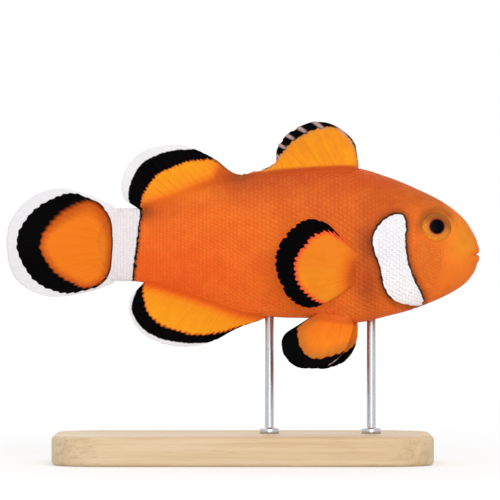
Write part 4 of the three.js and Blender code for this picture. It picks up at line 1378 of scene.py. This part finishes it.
def make_base():
    low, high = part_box("stand_base")
    half_x, half_y = (high.x - low.x) / 2, (high.y - low.y) / 2
    edge = BASE_EDGE * UNIT
    arc = np.linspace(0.0, math.pi / 2, EDGE_STEPS)
    profile = [(edge * (1 - math.sin(a)), low.z + edge * (1 - math.cos(a))) for a in arc]
    profile += [(edge * (1 - math.cos(a)), high.z - edge * (1 - math.sin(a))) for a in arc]
    rings = [base_ring(half_x, half_y, inset, z) for inset, z in profile]
    base = stacked_rings("base_plate", rings, wood_material())
    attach(base, "root")
    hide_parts("stand_base")


def make_rods():
    material = steel_material()
    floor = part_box("stand_base")[1].z
    collar, edge = COLLAR_HEIGHT * UNIT, COLLAR_EDGE * UNIT
    turn = np.arange(ROD_SIDES) * FULL_TURN / ROD_SIDES
    for word in ("front", "rear"):
        low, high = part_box(f"stand_rod_{word}")
        radius = (high.x - low.x) / 2
        wide = radius * COLLAR_WIDTH
        x, y = (high.x + low.x) / 2, (high.y + low.y) / 2
        profile = [(radius, low.z), (radius, floor - edge), (wide - edge, floor - edge), (wide, floor),
                   (wide, floor + collar - edge), (wide - edge, floor + collar),
                   (radius + edge, floor + collar), (radius, floor + collar + edge),
                   (radius, high.z - edge), (radius - edge, high.z)]
        rings = [[(x + r * math.cos(a), y + r * math.sin(a), z) for a in turn] for r, z in profile]
        rod = stacked_rings(f"rod_{word}", rings, material)
        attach(rod, "root")
        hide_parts(f"stand_rod_{word}")


# ---- Floor, light and camera ----

WHITE = (1.0, 1.0, 1.0, 1.0)
FLOOR_GREY = (0.82, 0.82, 0.82, 1.0)
FLOOR_HALF_SIZE = 4.0                  # in metres
FLOOR_GLOW_NEAR, FLOOR_GLOW_FAR = 0.30, 0.50
LIT_FLOOR_REACH, UNLIT_FLOOR_REACH = 0.30, 0.62     # how far the lamps light the floor, in metres
WORLD_LIGHT, WORLD_SEEN = 0.66, 1.0    # the world's strength as light, and as the camera sees it

# Name, place and width in metres, and power in watts.
LAMPS = [("key", (0.07, -0.41, 0.23), 0.34, 0.54),
         ("fill", (0.03, -0.42, 0.07), 0.14, 0.30),
         ("back", (-0.05, 0.35, 0.30), 0.30, 0.25)]

CAMERA_LENS, SENSOR = 400.0, 36.0
FRAME_IN_LENGTHS = 1.056               # width of the picture, in lengths of the fish
FISH_RIGHT_SHIFT = 1.22                # the middle of the picture lies this far towards the snout, in mm


def seen_directly(tree):
    """1 for what the camera sees, and for what shows in a mirror or through glass, and 0 for plain light."""
    rays = tree.nodes.new("ShaderNodeLightPath")
    seen = rays.outputs["Is Camera Ray"]
    for kind in ("Is Glossy Ray", "Is Transmission Ray"):
        either = tree.nodes.new("ShaderNodeMath")
        either.operation = "MAXIMUM"
        tree.links.new(seen, either.inputs[0])
        tree.links.new(rays.outputs[kind], either.inputs[1])
        seen = either.outputs[0]
    return seen


def floor_material():
    """White to the camera, near the lamps and far from them, and still darker where the model shades it."""
    n = Nodes("floor")
    diffuse = n.add("ShaderNodeBsdfDiffuse")
    diffuse.inputs["Color"].default_value = FLOOR_GREY
    away = n.add("ShaderNodeVectorMath", operation="LENGTH")
    n.link(n.add("ShaderNodeTexCoord").outputs["Object"], away.inputs[0])
    strength = n.rise(away.outputs["Value"], LIT_FLOOR_REACH, UNLIT_FLOOR_REACH, FLOOR_GLOW_NEAR,
                      FLOOR_GLOW_FAR)
    glow = n.add("ShaderNodeEmission")
    glow.inputs["Color"].default_value = WHITE
    n.link(n.times(seen_directly(n.tree), strength), glow.inputs["Strength"])
    both = n.add("ShaderNodeAddShader")
    n.link(diffuse.outputs[0], both.inputs[0])
    n.link(glow.outputs[0], both.inputs[1])
    n.link(both.outputs[0], n.tree.nodes["Material Output"].inputs["Surface"])
    return n.material


def make_floor():
    size, z = FLOOR_HALF_SIZE, CAD_LOW.z
    points = np.array([(-size, -size, z), (size, -size, z), (size, size, z), (-size, size, z)])
    floor = new_piece("floor", points, [np.array([[0, 1, 2, 3]])], floor_material())


def make_world():
    world = bpy.data.worlds.new("studio")
    bpy.context.scene.world = world
    world.use_nodes = True
    tree = world.node_tree
    shade = tree.nodes["Background"]
    strength = tree.nodes.new("ShaderNodeMapRange")
    strength.inputs["To Min"].default_value = WORLD_LIGHT
    strength.inputs["To Max"].default_value = WORLD_SEEN
    tree.links.new(seen_directly(tree), strength.inputs["Value"])
    tree.links.new(strength.outputs["Result"], shade.inputs["Strength"])
    shade.inputs["Color"].default_value = WHITE


def make_lights():
    """Round lamps that point at the middle of the model."""
    for name, place, size, energy in LAMPS:
        data = bpy.data.lights.new(name, "AREA")
        data.shape = "DISK"
        data.size = size
        data.energy = energy
        lamp = bpy.data.objects.new(name, data)
        lamp.location = place
        direction = (CAD_LOW + CAD_HIGH) / 2 - lamp.location
        lamp.rotation_euler = direction.to_track_quat("-Z", "Y").to_euler()
        bpy.context.scene.collection.objects.link(lamp)


def make_camera():
    data = bpy.data.cameras.new("camera")
    data.lens = CAMERA_LENS
    data.sensor_width = SENSOR
    data.clip_start = 0.01
    data.clip_end = 20.0
    camera = bpy.data.objects.new("camera", data)
    width = FRAME_IN_LENGTHS * MODEL_LENGTH * UNIT
    camera.location = (FISH_RIGHT_SHIFT * UNIT, -width * CAMERA_LENS / SENSOR, AXIS_Z)
    camera.rotation_euler = (math.pi / 2, 0.0, 0.0)
    bpy.context.scene.collection.objects.link(camera)
    bpy.context.scene.camera = camera


# ---- Everything together ----

surface = Surface()
skin_look = skin_material()
make_skin(surface, skin_look)
make_scales(surface, skin_look)
make_front_dorsal_fin()
make_rear_dorsal_fin()
make_anal_fin()
make_tail_fin()
make_pectoral_fins()
make_pelvic_fins()
make_eyes()
make_base()
make_rods()
make_floor()
make_world()
make_lights()
make_camera()
bpy.context.scene.view_settings.view_transform = "Standard"
